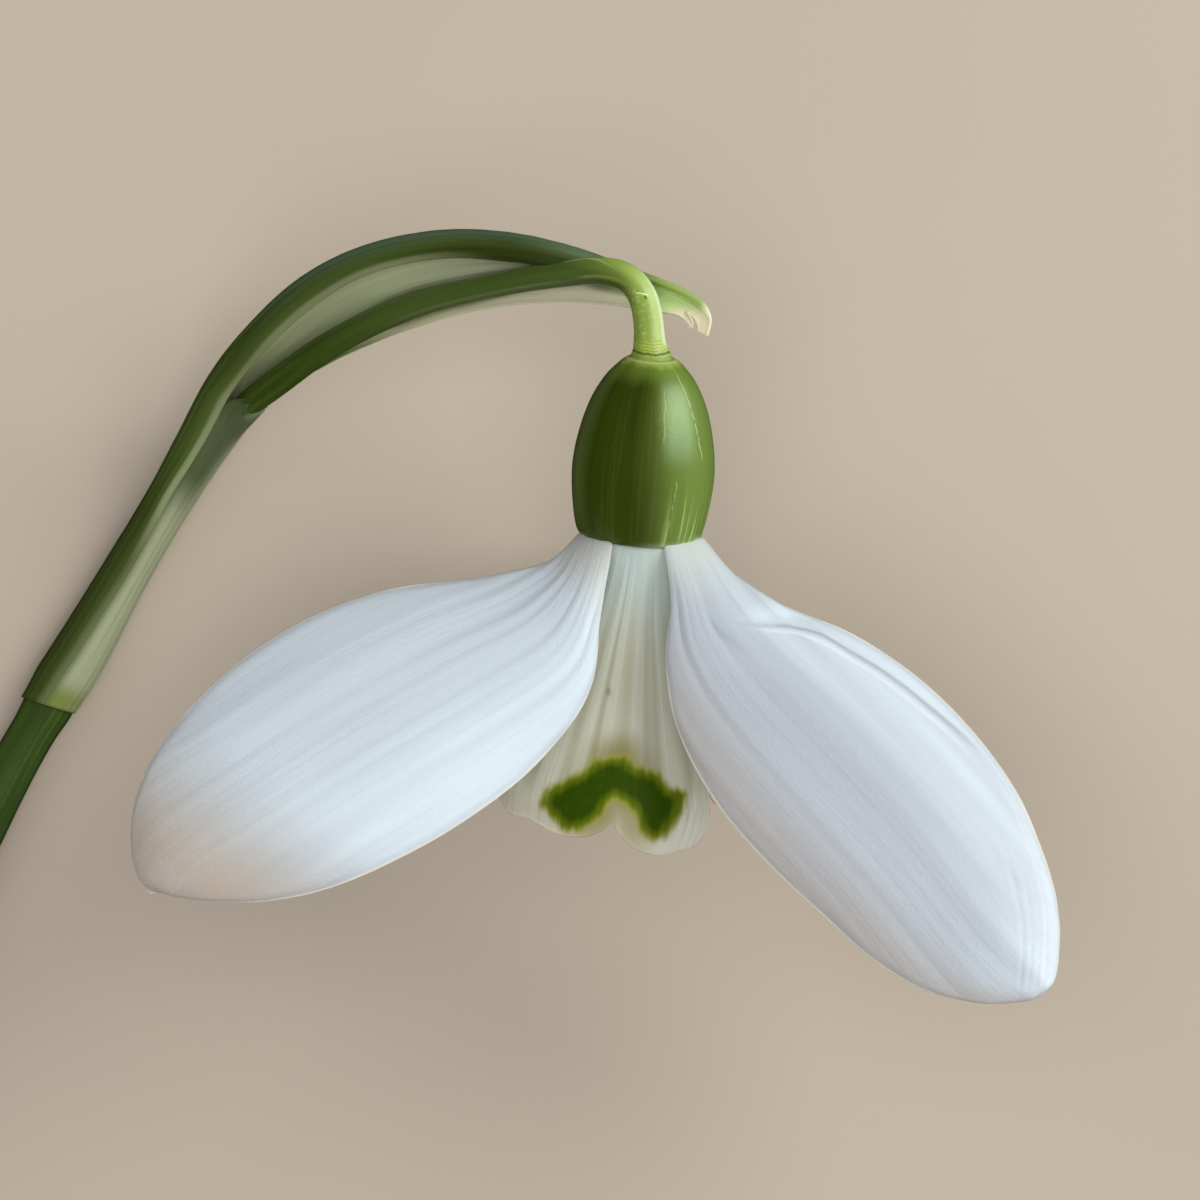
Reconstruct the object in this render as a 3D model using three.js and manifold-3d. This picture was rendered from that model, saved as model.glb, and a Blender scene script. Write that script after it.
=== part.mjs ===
// Snowdrop flower, picked, lying on a surface.
// Millimetres, +Z up. The flower faces along -Y, its stalk runs off to -X and -Y.

import * as THREE from 'three';
import { mergeVertices } from 'three/addons/utils/BufferGeometryUtils.js';
import Module from 'manifold-3d';

const wasm = await Module();
wasm.setup();
const { Manifold, Mesh: Solid } = wasm;

// Layout
// Outlines are drawn from straight above on a grid with x to the right and y down.
const GRID = 24;                  // grid steps to the millimetre
const MIDDLE = [600, 600];        // the grid point right below the eye
const BASE = [640, 545];          // the grid point that is x = 0, y = 0
const EYE = 400;                  // height of the eye above the flower's axis
const AXIS_HEIGHT = 15.5;         // of the flower's axis above the surface
const GAP = 0.3;                  // between neighbouring pieces
const BLADE = 0.6;                // thickness of tepals and spathe
const FOOT_BLADE = 0.66;          // of the tepal that lies down, before its flat spot is cut

// Ovary
const OVARY_LENGTH = 7.75;
const OVARY_RADIUS = 2.86;
const OVARY_TILT = [0.06, 0.97, 0.208];
const OVARY_BASE = [640.5, 536];

// Tepals
const CLAW_START = 0.47;          // of the inner tepals below the ovary's base
const OUTER_SWELL = 1.5;          // how far an outer tepal bulges across
const CUP_LENGTH = 12.35;         // of the inner tepals
const CUP_TILT = [-0.125, -0.965, -0.225];
const CUP_WIDE = 1.07;            // the cup is wider than it is deep
const CUP_DEEP = 0.95;
const NOTCH = 1.0;                // depth of the notch in an inner tepal

// Stamens and style
const STAMENS = 6;
const STAMEN_RING = 1.12;
const ANTHER_LENGTH = 5.6;
const ANTHER_RADIUS = 0.42;
const FILAMENT_RADIUS = 0.2;
const FILAMENT_LENGTH = 1.3;
const DISC_RADIUS = 1.5;
const DISC_HEIGHT = 0.55;
const DISC_PLACE = 0.42;          // below the ovary's base
const STYLE_RADIUS = 0.3;
const STYLE_LENGTH = 8.8;

// Stalk
const PEDICEL_RADIUS = 0.6;
const SCAPE_RADIUS = 1.04;
const SCAPE_REST = 0.96;          // height of its centre line, so a narrow strip rests
const SCAPE_FOOT_RADIUS = 1.3;    // at the cut end

function at(gx, gy, height) {
  const near = 1 - (height - AXIS_HEIGHT) / EYE;
  const x = (gx - MIDDLE[0]) * near + MIDDLE[0] - BASE[0];
  const y = (gy - MIDDLE[1]) * near + MIDDLE[1] - BASE[1];
  return new THREE.Vector3(x / GRID, -y / GRID, height);
}

// A value that runs smoothly through [place, value] pairs.
function profile(pairs) {
  const ends = [pairs[0], ...pairs, pairs[pairs.length - 1]];
  return (place) => {
    let k = 0;
    while (k < pairs.length - 2 && place > pairs[k + 1][0]) {
      k += 1;
    }
    const [from, to] = [pairs[k], pairs[k + 1]];
    const share = THREE.MathUtils.clamp((place - from[0]) / (to[0] - from[0]), 0, 1);
    const slope = (a, b) => (b[1] - a[1]) / Math.max(b[0] - a[0], 1e-6);
    const span = to[0] - from[0];
    const start = slope(ends[k], to) * span;
    const stop = slope(from, ends[k + 3]) * span;
    const s2 = share * share;
    const s3 = s2 * share;
    return from[1] * (2 * s3 - 3 * s2 + 1) + start * (s3 - 2 * s2 + share)
      + to[1] * (3 * s2 - 2 * s3) + stop * (s3 - s2);
  };
}

function closed(points, index) {
  const geometry = new THREE.BufferGeometry();
  const flat = points.flatMap((p) => [p.x, p.y, p.z]);
  geometry.setAttribute('position', new THREE.Float32BufferAttribute(flat, 3));
  geometry.setIndex(index);
  return outward(geometry);
}

function outward(geometry) {
  const p = geometry.attributes.position;
  const index = geometry.index.array;
  const [a, b, c] = [new THREE.Vector3(), new THREE.Vector3(), new THREE.Vector3()];
  let volume = 0;
  for (let k = 0; k < index.length; k += 3) {
    a.fromBufferAttribute(p, index[k]);
    b.fromBufferAttribute(p, index[k + 1]);
    c.fromBufferAttribute(p, index[k + 2]);
    volume += a.dot(b.cross(c));
  }
  if (volume < 0) {
    for (let k = 0; k < index.length; k += 3) {
      [index[k], index[k + 1]] = [index[k + 1], index[k]];
    }
  }
  return geometry;
}

// A thin blade: sheet(u, v) gives its middle, u from -1 to 1 across, v from 0 to 1 along.
function blade(sheet, across, along, half = () => BLADE / 2) {
  const points = [];
  const step = 1e-3;
  for (const side of [1, -1]) {
    for (let j = 0; j <= along; j += 1) {
      for (let i = 0; i <= across; i += 1) {
        const u = -1 + 2 * i / across;
        const v = j / along;
        const [u0, u1] = [Math.max(u - step, -1), Math.min(u + step, 1)];
        const [v0, v1] = [Math.max(v - step, 0), Math.min(v + step, 1)];
        const acrossWay = sheet(u1, v).sub(sheet(u0, v));
        const alongWay = sheet(u, v1).sub(sheet(u, v0));
        const normal = acrossWay.cross(alongWay).normalize();
        points.push(sheet(u, v).addScaledVector(normal, side * half(u, v)));
      }
    }
  }
  const row = across + 1;
  const back = row * (along + 1);
  const index = [];
  for (let j = 0; j < along; j += 1) {
    for (let i = 0; i < across; i += 1) {
      const a = j * row + i;
      const [b, c, d] = [a + 1, a + row + 1, a + row];
      index.push(a, b, c, a, c, d);
      index.push(back + a, back + c, back + b, back + a, back + d, back + c);
    }
  }
  const rim = [];
  for (let i = 0; i < across; i += 1) {
    rim.push([i + 1, i], [along * row + i, along * row + i + 1]);
  }
  for (let j = 0; j < along; j += 1) {
    rim.push([j * row, (j + 1) * row], [(j + 1) * row + across, j * row + across]);
  }
  for (const [a, b] of rim) {
    index.push(a, b, back + b, a, back + b, back + a);
  }
  return closed(points, index);
}

// A sheet between two edges, given at matching stations [ax, ay, az, bx, by, bz].
function between(stations, swell) {
  const edge = (k) => new THREE.CatmullRomCurve3(
    stations.map((s) => at(s[k], s[k + 1], AXIS_HEIGHT + s[k + 2])));
  const [a, b] = [edge(0), edge(3)];
  return (u, v) => {
    const point = a.getPoint(v).lerp(b.getPoint(v), (u + 1) / 2);
    point.z += swell(u, v);
    return point;
  };
}

// A round stalk along a curve, its radius given from 0 to 1 along it.
function stalk(places, radius, sides, steps) {
  const curve = new THREE.CatmullRomCurve3(places);
  const frames = curve.computeFrenetFrames(steps, false);
  const points = [];
  for (let j = 0; j <= steps; j += 1) {
    const centre = curve.getPointAt(j / steps);
    for (let i = 0; i < sides; i += 1) {
      const turn = 2 * Math.PI * i / sides;
      const r = radius(j / steps);
      points.push(centre.clone()
        .addScaledVector(frames.normals[j], r * Math.cos(turn))
        .addScaledVector(frames.binormals[j], r * Math.sin(turn)));
    }
  }
  const index = [];
  for (let j = 0; j < steps; j += 1) {
    for (let i = 0; i < sides; i += 1) {
      const a = j * sides + i;
      const b = j * sides + (i + 1) % sides;
      index.push(a, b, b + sides, a, b + sides, a + sides);
    }
  }
  const top = steps * sides;
  for (let i = 1; i < sides - 1; i += 1) {
    index.push(0, i + 1, i, top, top + i, top + i + 1);
  }
  return closed(points, index);
}

function solid(geometry) {
  const bare = geometry.clone();
  bare.deleteAttribute('normal');
  bare.deleteAttribute('uv');
  const merged = mergeVertices(bare, 1e-4);
  return new Manifold(new Solid({
    numProp: 3,
    vertProperties: new Float32Array(merged.attributes.position.array),
    triVerts: new Uint32Array(merged.index.array),
  }));
}

function geometryOf(body) {
  const mesh = body.getMesh();
  const geometry = new THREE.BufferGeometry();
  geometry.setAttribute('position', new THREE.BufferAttribute(mesh.vertProperties, 3));
  geometry.setIndex(new THREE.BufferAttribute(mesh.triVerts, 1));
  return geometry;
}

// The half space under the surface, to take off what would sink into it.
const under = solid(new THREE.BoxGeometry(200, 200, 20).translate(0, 0, -10));

const group = new THREE.Group();

function add(name, geometry, colour, roughness) {
  const material = new THREE.MeshStandardMaterial({ color: colour, roughness, metalness: 0 });
  const mesh = new THREE.Mesh(geometry, material);
  mesh.name = name;
  group.add(mesh);
  return mesh;
}

// Ovary
const ovaryAxis = new THREE.Vector3(...OVARY_TILT).normalize();
const ovaryBase = at(...OVARY_BASE, AXIS_HEIGHT);
const ovaryOutline = [
  [0, 0], [0.8, 0], [0.885, 0.012], [0.925, 0.045], [0.962, 0.14], [0.99, 0.26], [1, 0.38],
  [0.985, 0.5], [0.93, 0.62], [0.84, 0.73], [0.7, 0.83], [0.52, 0.915], [0.36, 0.965],
  [0.24, 1], [0, 1],
];
const ovaryPoints = ovaryOutline.map(([r, h]) => (
  new THREE.Vector2(r * OVARY_RADIUS, h * OVARY_LENGTH)));
const ovary = add('ovary', new THREE.LatheGeometry(ovaryPoints, 28), 0x4f7420, 0.45);
ovary.quaternion.setFromUnitVectors(new THREE.Vector3(0, 1, 0), ovaryAxis);
ovary.position.copy(ovaryBase);

// Outer tepals, left and right
const swellOf = (most, left) => (u, v) => {
  const along = left * (1 - v) + most * Math.sin(Math.PI * v ** 0.8);
  return along * (1 - Math.abs(u) ** 2.2);
};
const leftStations = [
  [581, 548, 0.3, 605, 556, 2.1],
  [550, 565, 0.6, 600, 618, 3.5],
  [490, 577, 0.7, 589, 688, 3.9],
  [388, 593, 0.9, 539, 758, 4.5],
  [305, 623, 1.3, 465, 817, 5.5],
  [238, 666, 2.0, 396, 857, 6.2],
  [189, 713, 3.0, 330, 885, 6.7],
  [154, 762, 4.0, 268, 897, 6.9],
  [135, 815, 5.2, 215, 897, 6.9],
  [138, 862, 6.1, 181, 892, 6.7],
  [150, 888, 6.5, 163, 889, 6.5],
];
const rightStations = [
  [671, 560, 2.0, 698, 556, 0.3],
  [672, 602, 3.2, 731, 577, 0.6],
  [666, 662, 3.8, 778, 603, 0.8],
  [679, 731, 4.2, 841, 632, 1.1],
  [715, 799, 4.9, 913, 677, 1.6],
  [765, 858, 5.4, 969, 733, 2.2],
  [823, 912, 5.9, 1010, 790, 2.9],
  [881, 961, 6.2, 1038, 849, 3.8],
  [931, 988, 6.4, 1053, 900, 4.7],
  [980, 999, 6.4, 1056, 943, 5.4],
  [1018, 997, 6.3, 1050, 972, 5.9],
  [1032, 995, 6.2, 1042, 988, 6.1],
];
const leftSheet = between(leftStations, swellOf(OUTER_SWELL, 0.25));
const rightSheet = between(rightStations, swellOf(OUTER_SWELL, 0.25));
add('outer_tepal_left', blade(leftSheet, 10, 24), 0xd7dee6, 0.5);
add('outer_tepal_right', blade(rightSheet, 10, 24), 0xd7dee6, 0.5);

// Outer tepal at the back, which carries the flower: it bends and lies flat on the surface
const footLine = new THREE.CatmullRomCurve3([
  [0, 0.25, 12.95], [0, 0.6, 11.6], [-0.1, 0.95, 9.5], [-0.2, 0.95, 7], [-0.3, 0.4, 4.2],
  [-0.4, -0.9, 1.8], [-0.5, -2.9, 0.55], [-0.6, -4.6, BLADE / 2], [-0.7, -6.9, BLADE / 2],
  [-0.8, -9.3, BLADE / 2], [-0.9, -11.5, BLADE / 2],
].map((p) => new THREE.Vector3(...p)));
const footWidth = profile([
  [0, 0.9], [0.1, 1.3], [0.2, 1.85], [0.3, 2.35], [0.4, 2.85], [0.5, 3.55], [0.6, 4.5],
  [0.7, 5.05], [0.8, 5.0], [0.9, 4.1], [0.96, 2.8], [1, 0.5],
]);
const FLAT_SHARE = 0.5;           // of the blade's width that lies flat
const footSheet = (u, v) => {
  const point = footLine.getPoint(v);
  const way = footLine.getTangent(v);
  const inward = new THREE.Vector3(0, way.z, -way.y).normalize();
  const reach = footWidth(v) * u;
  point.x += reach;
  const curl = Math.max(Math.abs(u) - FLAT_SHARE, 0) / (1 - FLAT_SHARE);
  const bent = 0.25 * (1 - v) * u * u + 1.1 * Math.sin(Math.PI * v ** 0.9) * curl ** 1.8;
  return point.addScaledVector(inward, bent);
};
const foot = solid(blade(footSheet, 12, 26, () => FOOT_BLADE / 2)).subtract(under);
add('outer_tepal_back', geometryOf(foot), 0xd3dae2, 0.5);

// Inner tepals, a cup round the flower's axis
const cupAxis = new THREE.Vector3(...CUP_TILT).normalize();
const cupFront = new THREE.Vector3(0, 0, 1).addScaledVector(cupAxis, -cupAxis.z).normalize();
const cupRight = new THREE.Vector3().crossVectors(cupFront, cupAxis).normalize();
const cupRadius = profile([
  [0, 2.25], [2, 2.4], [4.5, 2.9], [7, 3.65], [9, 4.35], [10.7, 4.8], [13, 5.05],
]);
function cupPoint(turn, along, radius) {
  return ovaryBase.clone()
    .addScaledVector(cupAxis, along)
    .addScaledVector(cupRight, radius * CUP_WIDE * Math.sin(turn))
    .addScaledVector(cupFront, radius * CUP_DEEP * Math.cos(turn));
}
// The lobed free edge: how long the tepal is at each place across it.
const lobes = profile([
  [-1, 10.7], [-0.88, 11.4], [-0.6, 11.75], [-0.3, 12.05], [-0.02, 11.7], [0.1, 12.25 - NOTCH],
  [0.2, 11.85], [0.42, CUP_LENGTH], [0.7, 12.25], [0.93, 11.7], [1, 10.6],
]);
function innerTepal(facing, halfAngle, shrink) {
  return (u, v) => {
    const long = lobes(u) * shrink;
    const along = CLAW_START + (long - CLAW_START) * v;
    const turn = facing + u * halfAngle(along);
    return cupPoint(turn, along, cupRadius(along) * shrink);
  };
}
const frontAngle = profile([
  [0, 0.33], [2, 0.52], [4.5, 0.8], [7, 0.95], [9, 1.0], [10.7, 1.03], [13, 0.98],
]);
const sideAngle = profile([
  [0, 0.4], [2, 0.6], [4.5, 0.82], [7, 0.91], [9, 0.95], [10.7, 0.96], [13, 0.88],
]);
const THIRD = 2 * Math.PI / 3;
add('inner_tepal_front', blade(innerTepal(-0.02, frontAngle, 1), 16, 12), 0xc9cbb9, 0.55);
add('inner_tepal_left', blade(innerTepal(-THIRD + 0.02, sideAngle, 0.92), 12, 12), 0xc6c8b6, 0.55);
add('inner_tepal_right', blade(innerTepal(THIRD + 0.02, sideAngle, 0.92), 12, 12), 0xc6c8b6, 0.55);

// Stamens on their disc, and the style that stands in their midst
function onAxis(geometry, along) {
  const turned = geometry.clone();
  turned.applyQuaternion(
    new THREE.Quaternion().setFromUnitVectors(new THREE.Vector3(0, 1, 0), cupAxis));
  const place = ovaryBase.clone().addScaledVector(cupAxis, along);
  return turned.translate(place.x, place.y, place.z);
}
const disc = new THREE.CylinderGeometry(DISC_RADIUS, DISC_RADIUS, DISC_HEIGHT, 18);
let stamens = solid(onAxis(disc, DISC_PLACE + DISC_HEIGHT / 2));
const antherOutline = [
  [0, -0.1], [FILAMENT_RADIUS, -0.1], [FILAMENT_RADIUS, FILAMENT_LENGTH],
  [ANTHER_RADIUS, FILAMENT_LENGTH + 0.35],
  [ANTHER_RADIUS, FILAMENT_LENGTH + 0.55 * ANTHER_LENGTH],
  [0.12, FILAMENT_LENGTH + ANTHER_LENGTH], [0, FILAMENT_LENGTH + ANTHER_LENGTH],
].map(([r, h]) => new THREE.Vector2(r, h));
const stamen = new THREE.LatheGeometry(antherOutline, 8);
for (let k = 0; k < STAMENS; k += 1) {
  const turn = (k + 0.5) * 2 * Math.PI / STAMENS;
  const one = stamen.clone();
  one.translate(STAMEN_RING * Math.sin(turn), DISC_PLACE + DISC_HEIGHT - 0.1, STAMEN_RING * Math.cos(turn));
  stamens = stamens.add(solid(onAxis(one, 0)));
}
add('stamens', geometryOf(stamens), 0xd9962b, 0.6);
const styleFoot = DISC_PLACE + DISC_HEIGHT + GAP;
const styleShape = [
  [0, 0], [STYLE_RADIUS, 0], [STYLE_RADIUS, 0.5 * STYLE_LENGTH], [0.2, 0.9 * STYLE_LENGTH],
  [0.12, STYLE_LENGTH], [0, STYLE_LENGTH],
].map(([r, h]) => new THREE.Vector2(r, h));
add('style', onAxis(new THREE.LatheGeometry(styleShape, 10), styleFoot), 0xd5dcb4, 0.5);

// Pedicel, from the fold of the spathe over the arch to the ovary
const ovaryTop = ovaryBase.clone().addScaledVector(ovaryAxis, OVARY_LENGTH + 1.5 * GAP);
const pedicelLine = [
  [243, 408, 3.95], [277, 382, 5.4], [325, 347, 7.7], [374, 320, 9.8],
  [422, 301, 11.6], [471, 289, 13.2], [519, 280, 14.7], [562, 274, 15.9], [602, 271, 16.85],
  [627, 278, 17.3], [641, 295, 17.45], [647, 316, 17.3],
].map((p) => at(...p));
const pedicelRadius = profile([
  [0, 0.4], [0.03, PEDICEL_RADIUS], [0.35, 0.6], [0.8, 0.48], [0.9, 0.52], [1, 0.66],
]);
const pedicelPlaces = [...pedicelLine, ovaryTop];
const pedicel = stalk(pedicelPlaces, pedicelRadius, 12, 34);
add('pedicel', pedicel, 0x86a236, 0.45);

// Scape, down to its plain cut end
const scapeLine = [
  [-270, 1330, SCAPE_REST + 0.22], [-190, 1170, SCAPE_REST + 0.16], [-100, 1000, SCAPE_REST + 0.1],
  [-20, 845, SCAPE_REST + 0.03], [22, 762, SCAPE_REST], [53, 708, SCAPE_REST],
].map((p) => at(...p));
const scapeRadius = profile([[0, SCAPE_FOOT_RADIUS], [0.5, 1.14], [1, SCAPE_RADIUS]]);
const scape = solid(stalk(scapeLine, scapeRadius, 16, 12)).subtract(under);
add('scape', geometryOf(scape), 0x35501c, 0.5);

// Spathe: a closed sheath below that opens into a fold with a forked tip
const sheathLine = [
  [58, 699, SCAPE_REST], [82, 655, SCAPE_REST], [126, 576, SCAPE_REST + 0.05],
  [171, 495, SCAPE_REST + 0.75], [205, 444, 2.6], [228, 412, 3.5],
].map((p) => at(...p));
const sheathRadius = profile([[0, SCAPE_RADIUS], [0.3, 1.08], [0.65, 1.18], [0.9, 1.15], [1, 0.9]]);
const foldStations = [
  [158, 484, 1.7, 184, 503, 1.0],
  [184, 440, 3.0, 229, 444, 2.0],
  [213, 386, 4.4, 266, 400, 3.1],
  [252, 339, 6.7, 321, 363, 5.3],
  [305, 288, 9.2, 370, 341, 7.6],
  [364, 257, 11.4, 410, 327, 9.6],
  [441, 239, 13.5, 471, 310, 11.9],
  [509, 242, 15.0, 525, 302, 13.4],
  [573, 257, 16.4, 580, 301, 14.9],
  [627, 272, 16.9, 632, 305, 15.7],
  [671, 293, 16.9, 662, 309, 16.0],
  [698, 306, 16.7, 679, 313, 16.1],
  [708, 319, 16.5, 686, 319, 16.1],
  [705, 333, 16.2, 690, 325, 16.0],
].map(([ax, ay, az, bx, by, bz]) => [
  ax, ay, az - AXIS_HEIGHT, bx, by, bz - AXIS_HEIGHT]);
const foldDepth = profile([[0, 0.9], [0.3, 1.0], [0.6, 1.0], [0.72, 0.8], [0.85, 0.3], [1, 0.05]]);
const foldSheet = between(foldStations, (u, v) => -foldDepth(v) * (1 - u * u));
const forked = (u, v) => {
  const notch = 0.035 * Math.exp(-(((u - 0.35) / 0.3) ** 2));
  return foldSheet(u, v * (1 - notch));
};
const keel = (u) => BLADE / 2 + 0.15 * THREE.MathUtils.smoothstep(-u, 0.4, 1);
const pedicelRoom = solid(stalk(pedicelPlaces, (t) => pedicelRadius(t) + GAP, 12, 34));
const spathe = solid(stalk(sheathLine, sheathRadius, 16, 16))
  .add(solid(blade(forked, 10, 30, keel)))
  .subtract(pedicelRoom)
  .subtract(under);
add('spathe', geometryOf(spathe), 0x6f8f4c, 0.5);

// The origin is under the middle of the whole
const bounds = new THREE.Box3().setFromObject(group);
const middle = bounds.getCenter(new THREE.Vector3());
group.children.forEach((mesh) => {
  mesh.position.x -= middle.x;
  mesh.position.y -= middle.y;
  mesh.position.z -= bounds.min.z;
});

export default group;
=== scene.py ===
"""A picked snowdrop flower lying on a pale floor, seen from above."""

import math

import bpy
import numpy as np
from bpy.props import FloatProperty, FloatVectorProperty, IntProperty, PointerProperty
from mathutils import Matrix, Vector


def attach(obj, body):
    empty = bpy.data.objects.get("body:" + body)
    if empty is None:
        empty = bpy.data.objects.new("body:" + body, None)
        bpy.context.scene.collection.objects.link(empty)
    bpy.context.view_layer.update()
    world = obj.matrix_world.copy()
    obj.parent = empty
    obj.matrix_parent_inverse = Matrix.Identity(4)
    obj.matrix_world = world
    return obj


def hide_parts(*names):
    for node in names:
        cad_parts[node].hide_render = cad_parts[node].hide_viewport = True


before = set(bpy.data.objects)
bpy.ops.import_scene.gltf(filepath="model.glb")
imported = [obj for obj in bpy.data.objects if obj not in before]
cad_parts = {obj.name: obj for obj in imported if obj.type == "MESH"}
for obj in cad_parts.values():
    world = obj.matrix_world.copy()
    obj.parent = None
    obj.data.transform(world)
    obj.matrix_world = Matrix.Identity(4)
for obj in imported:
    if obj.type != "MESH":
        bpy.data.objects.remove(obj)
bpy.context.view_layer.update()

bl_info = {
    "name": "Snowdrop flower",
    "version": (1, 0, 0),
    "blender": (4, 5, 0),
    "location": "View3D > Sidebar > Snowdrop",
    "description": "Petals, stalk and light for a picked snowdrop flower",
    "category": "Object",
}

# Layout: the outlines are drawn from straight above, in drawing points, with heights in millimetres
MM = 0.001
# Drawing points to the millimetre, the drawing's width, and its middle, which the camera looks down on
GRID = 24.0
FRAME = 1200
MIDDLE = (600.0, 600.0)
# The flower's origin by the foot of its ovary: on the drawing, in the frame, and its height
BASE = (640.0, 545.0)
FLOWER_PLACE = np.array((11.539, 10.571, 0.0))
AXIS_HEIGHT = 15.5
# The camera's height above that, and the least height of anything above the floor
EYE = 400.0
FLOOR_LEAST = 0.004

# The ovary and the cup below it: their feet on the drawing, and the ways that they point from there
OVARY_LENGTH = 7.75
OVARY_RADIUS = 2.97
OVARY_BASE = (638.5, 536.0)
OVARY_TILT = (0.074, 0.97, 0.208)
CUP_BASE = (640.5, 536.0)
CUP_TILT = (-0.125, -0.965, -0.225)
# How much wider and flatter the cup is than a round one
CUP_WIDE = 1.07
CUP_DEEP = 0.95
# A third of a turn, how far the outer tepals swell up, and the size of the inner side ones
THIRD = 2 * math.pi / 3
TEPAL_SWELL = 1.45
SIDE_TEPAL_SIZE = 0.92
SPATHE_THICK = 0.4 * MM
# The brown spot on the front inner tepal, in drawing points
SPOT_PLACE = (609, 692)
SPOT_SIZE = (2.6, 4.2)
# The disc, the stamens and the style: how far along the axis each stands, and the stamens' ring
DISC_HEIGHT = 0.42
STAMENS = 6
STAMEN_HEIGHT = 0.87
STAMEN_RING = 1.12
STYLE_HEIGHT = 1.27
# The body that every piece rides on
ROOT = "root"

# Stage, in metres. Each light: its place, size and colour, and whether it shows as a highlight
FLOOR_SIZE = 2.4
LIGHTS = {
    "key": ((0.25, 0.135, 0.27), 0.22, (1.0, 0.985, 0.96), True),
    "window": ((0.36, 0.14, 0.10), 0.24, (0.88, 0.96, 1.0), True),
    "fill": ((-0.22, 0.12, 0.30), 0.30, (0.92, 0.96, 1.0), False),
    "overhead": ((0.0, -0.04, 0.50), 0.36, (1.0, 0.99, 0.97), False),
    "low": ((-0.06, -0.30, 0.14), 0.22, (1.0, 0.96, 0.92), False),
}
SKY_COLOUR = (0.86, 0.90, 1.0)
# The width of the camera's sensor, in millimetres
SENSOR = 36

# Colours of the finer marks, as linear red, green and blue
TEPAL_VEIN = (0.52, 0.58, 0.66)
TEPAL_CLAW = (0.75, 0.80, 0.75)
TEPAL_WARM = (0.56, 0.475, 0.395)
TEPAL_PAINTED_GLINT = (0.97, 0.99, 1.0)
TEPAL_MARGIN_SHADE = (0.44, 0.47, 0.50)
TEPAL_RIM_BACKLIGHT = (1.0, 0.94, 0.86)
TEPAL_THROUGH = (0.86, 0.88, 0.86)
CREASE_PAINTED_SHADE = (0.36, 0.40, 0.45)
CREASE_PAINTED_LIGHT = (0.96, 0.98, 1.0)
INNER_CLAW = (0.57, 0.68, 0.66)
LOBE_SHADED = (0.76, 0.73, 0.61)
LOBE_LIT = (0.98, 0.97, 0.88)
LOBE_STREAK = (0.88, 0.88, 0.78)
LOBE_LIP = (0.92, 0.80, 0.63)
SPOT_BROWN = (0.20, 0.18, 0.10)
MARK_STAIN = (0.26, 0.22, 0.03)
MARK_OLIVE = (0.36, 0.37, 0.06)
MARK_EDGE = (0.125, 0.18, 0.004)
MARK_CLUMP = (0.065, 0.115, 0.002)
INNER_SHINE = (1.0, 1.0, 0.3, 1)
OVARY_RIGHT_PALE_AND_LIT = (0.17, 0.25, 0.05)
OVARY_LEFT_RIM_LIGHT = (0.105, 0.15, 0.035)
OVARY_STREAK = (0.36, 0.50, 0.13)
OVARY_HEM = (0.48, 0.56, 0.36)
OVARY_PAINTED_SHEEN = (0.25, 0.37, 0.225)
OVARY_HAIRLINE = (0.50, 0.56, 0.28)
OVARY_SHINE = (0.80, 1.0, 0.40, 1)
CAP_GREEN = (0.14, 0.21, 0.025)
CAP_TOP = (0.30, 0.38, 0.08)
CAP_PAINTED_HIGHLIGHT = (0.46, 0.54, 0.20)
PEDICEL_DARK = (0.036, 0.064, 0.006)
PEDICEL_LIGHT = (0.066, 0.11, 0.012)
PEDICEL_UPPER = (0.078, 0.122, 0.022)
PEDICEL_FLANK_HIGHLIGHT = (0.15, 0.20, 0.075)
PEDICEL_LINE_PALE = (0.36, 0.43, 0.20)
BEND_GREEN = (0.135, 0.19, 0.032)
BEND_FOLD_SHADE = (0.07, 0.11, 0.015)
BEND_RIDGE_HIGHLIGHT = (0.21, 0.27, 0.05)
NECK_LIT_SIDE = (0.46, 0.60, 0.20)
NECK_SCRATCH = (0.58, 0.70, 0.26)
NECK_EDGE_HIGHLIGHT = (0.74, 0.80, 0.52)
NECK_DASH = (0.74, 0.80, 0.44)
NECK_PIT = (0.06, 0.09, 0.01)
JOINT_YELLOW = (0.43, 0.53, 0.07)
JOINT_GROOVE_AND_SHADOW = (0.09, 0.13, 0.01)
JOINT_COLLAR = (0.24, 0.33, 0.055)
SCAPE_END = (0.16, 0.20, 0.06)
PITH_GREEN = (0.42, 0.52, 0.24)
PITH_PALE = (0.66, 0.72, 0.46)
PITH_TUBES = (0.30, 0.40, 0.14)
MEMBRANE_VEIN = (0.24, 0.28, 0.13)
MEMBRANE_GREEN = (0.54, 0.66, 0.30)
MEMBRANE_SHADED = (0.19, 0.23, 0.08)
MEMBRANE_VEILED = (0.065, 0.092, 0.03)
MEMBRANE_MOUTH = (0.045, 0.075, 0.012)
MEMBRANE_FOOT = (0.24, 0.29, 0.07)
MEMBRANE_TIP = (0.70, 0.92, 0.38)
MEMBRANE_EDGE = (0.92, 0.85, 0.62)
KEEL_BROAD = (0.075, 0.115, 0.02)
KEEL_LOW = (0.060, 0.086, 0.014)
KEEL_HIGH = (0.15, 0.22, 0.09)
KEEL_TIP = (0.28, 0.38, 0.09)
KEEL_VEIN = (0.12, 0.19, 0.04)
KEEL_PAINTED_SKY_SHEEN = (0.085, 0.14, 0.085)
KEEL_DEEP = (0.030, 0.045, 0.003)
SPATHE_LIP = (0.29, 0.33, 0.16)
ANTHER_DARK = (0.72, 0.34, 0.03)
ANTHER_LIGHT = (0.86, 0.52, 0.10)
FILAMENT_DARK = (0.55, 0.62, 0.36)
FILAMENT_LIGHT = (0.76, 0.80, 0.62)
STYLE_DARK = (0.60, 0.68, 0.40)
STYLE_LIGHT = (0.80, 0.84, 0.66)
STYLE_TIP = (0.84, 0.86, 0.80)


def unit(v):
    """The direction of a vector."""
    v = np.asarray(v, float)
    return v / np.linalg.norm(v)


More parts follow.
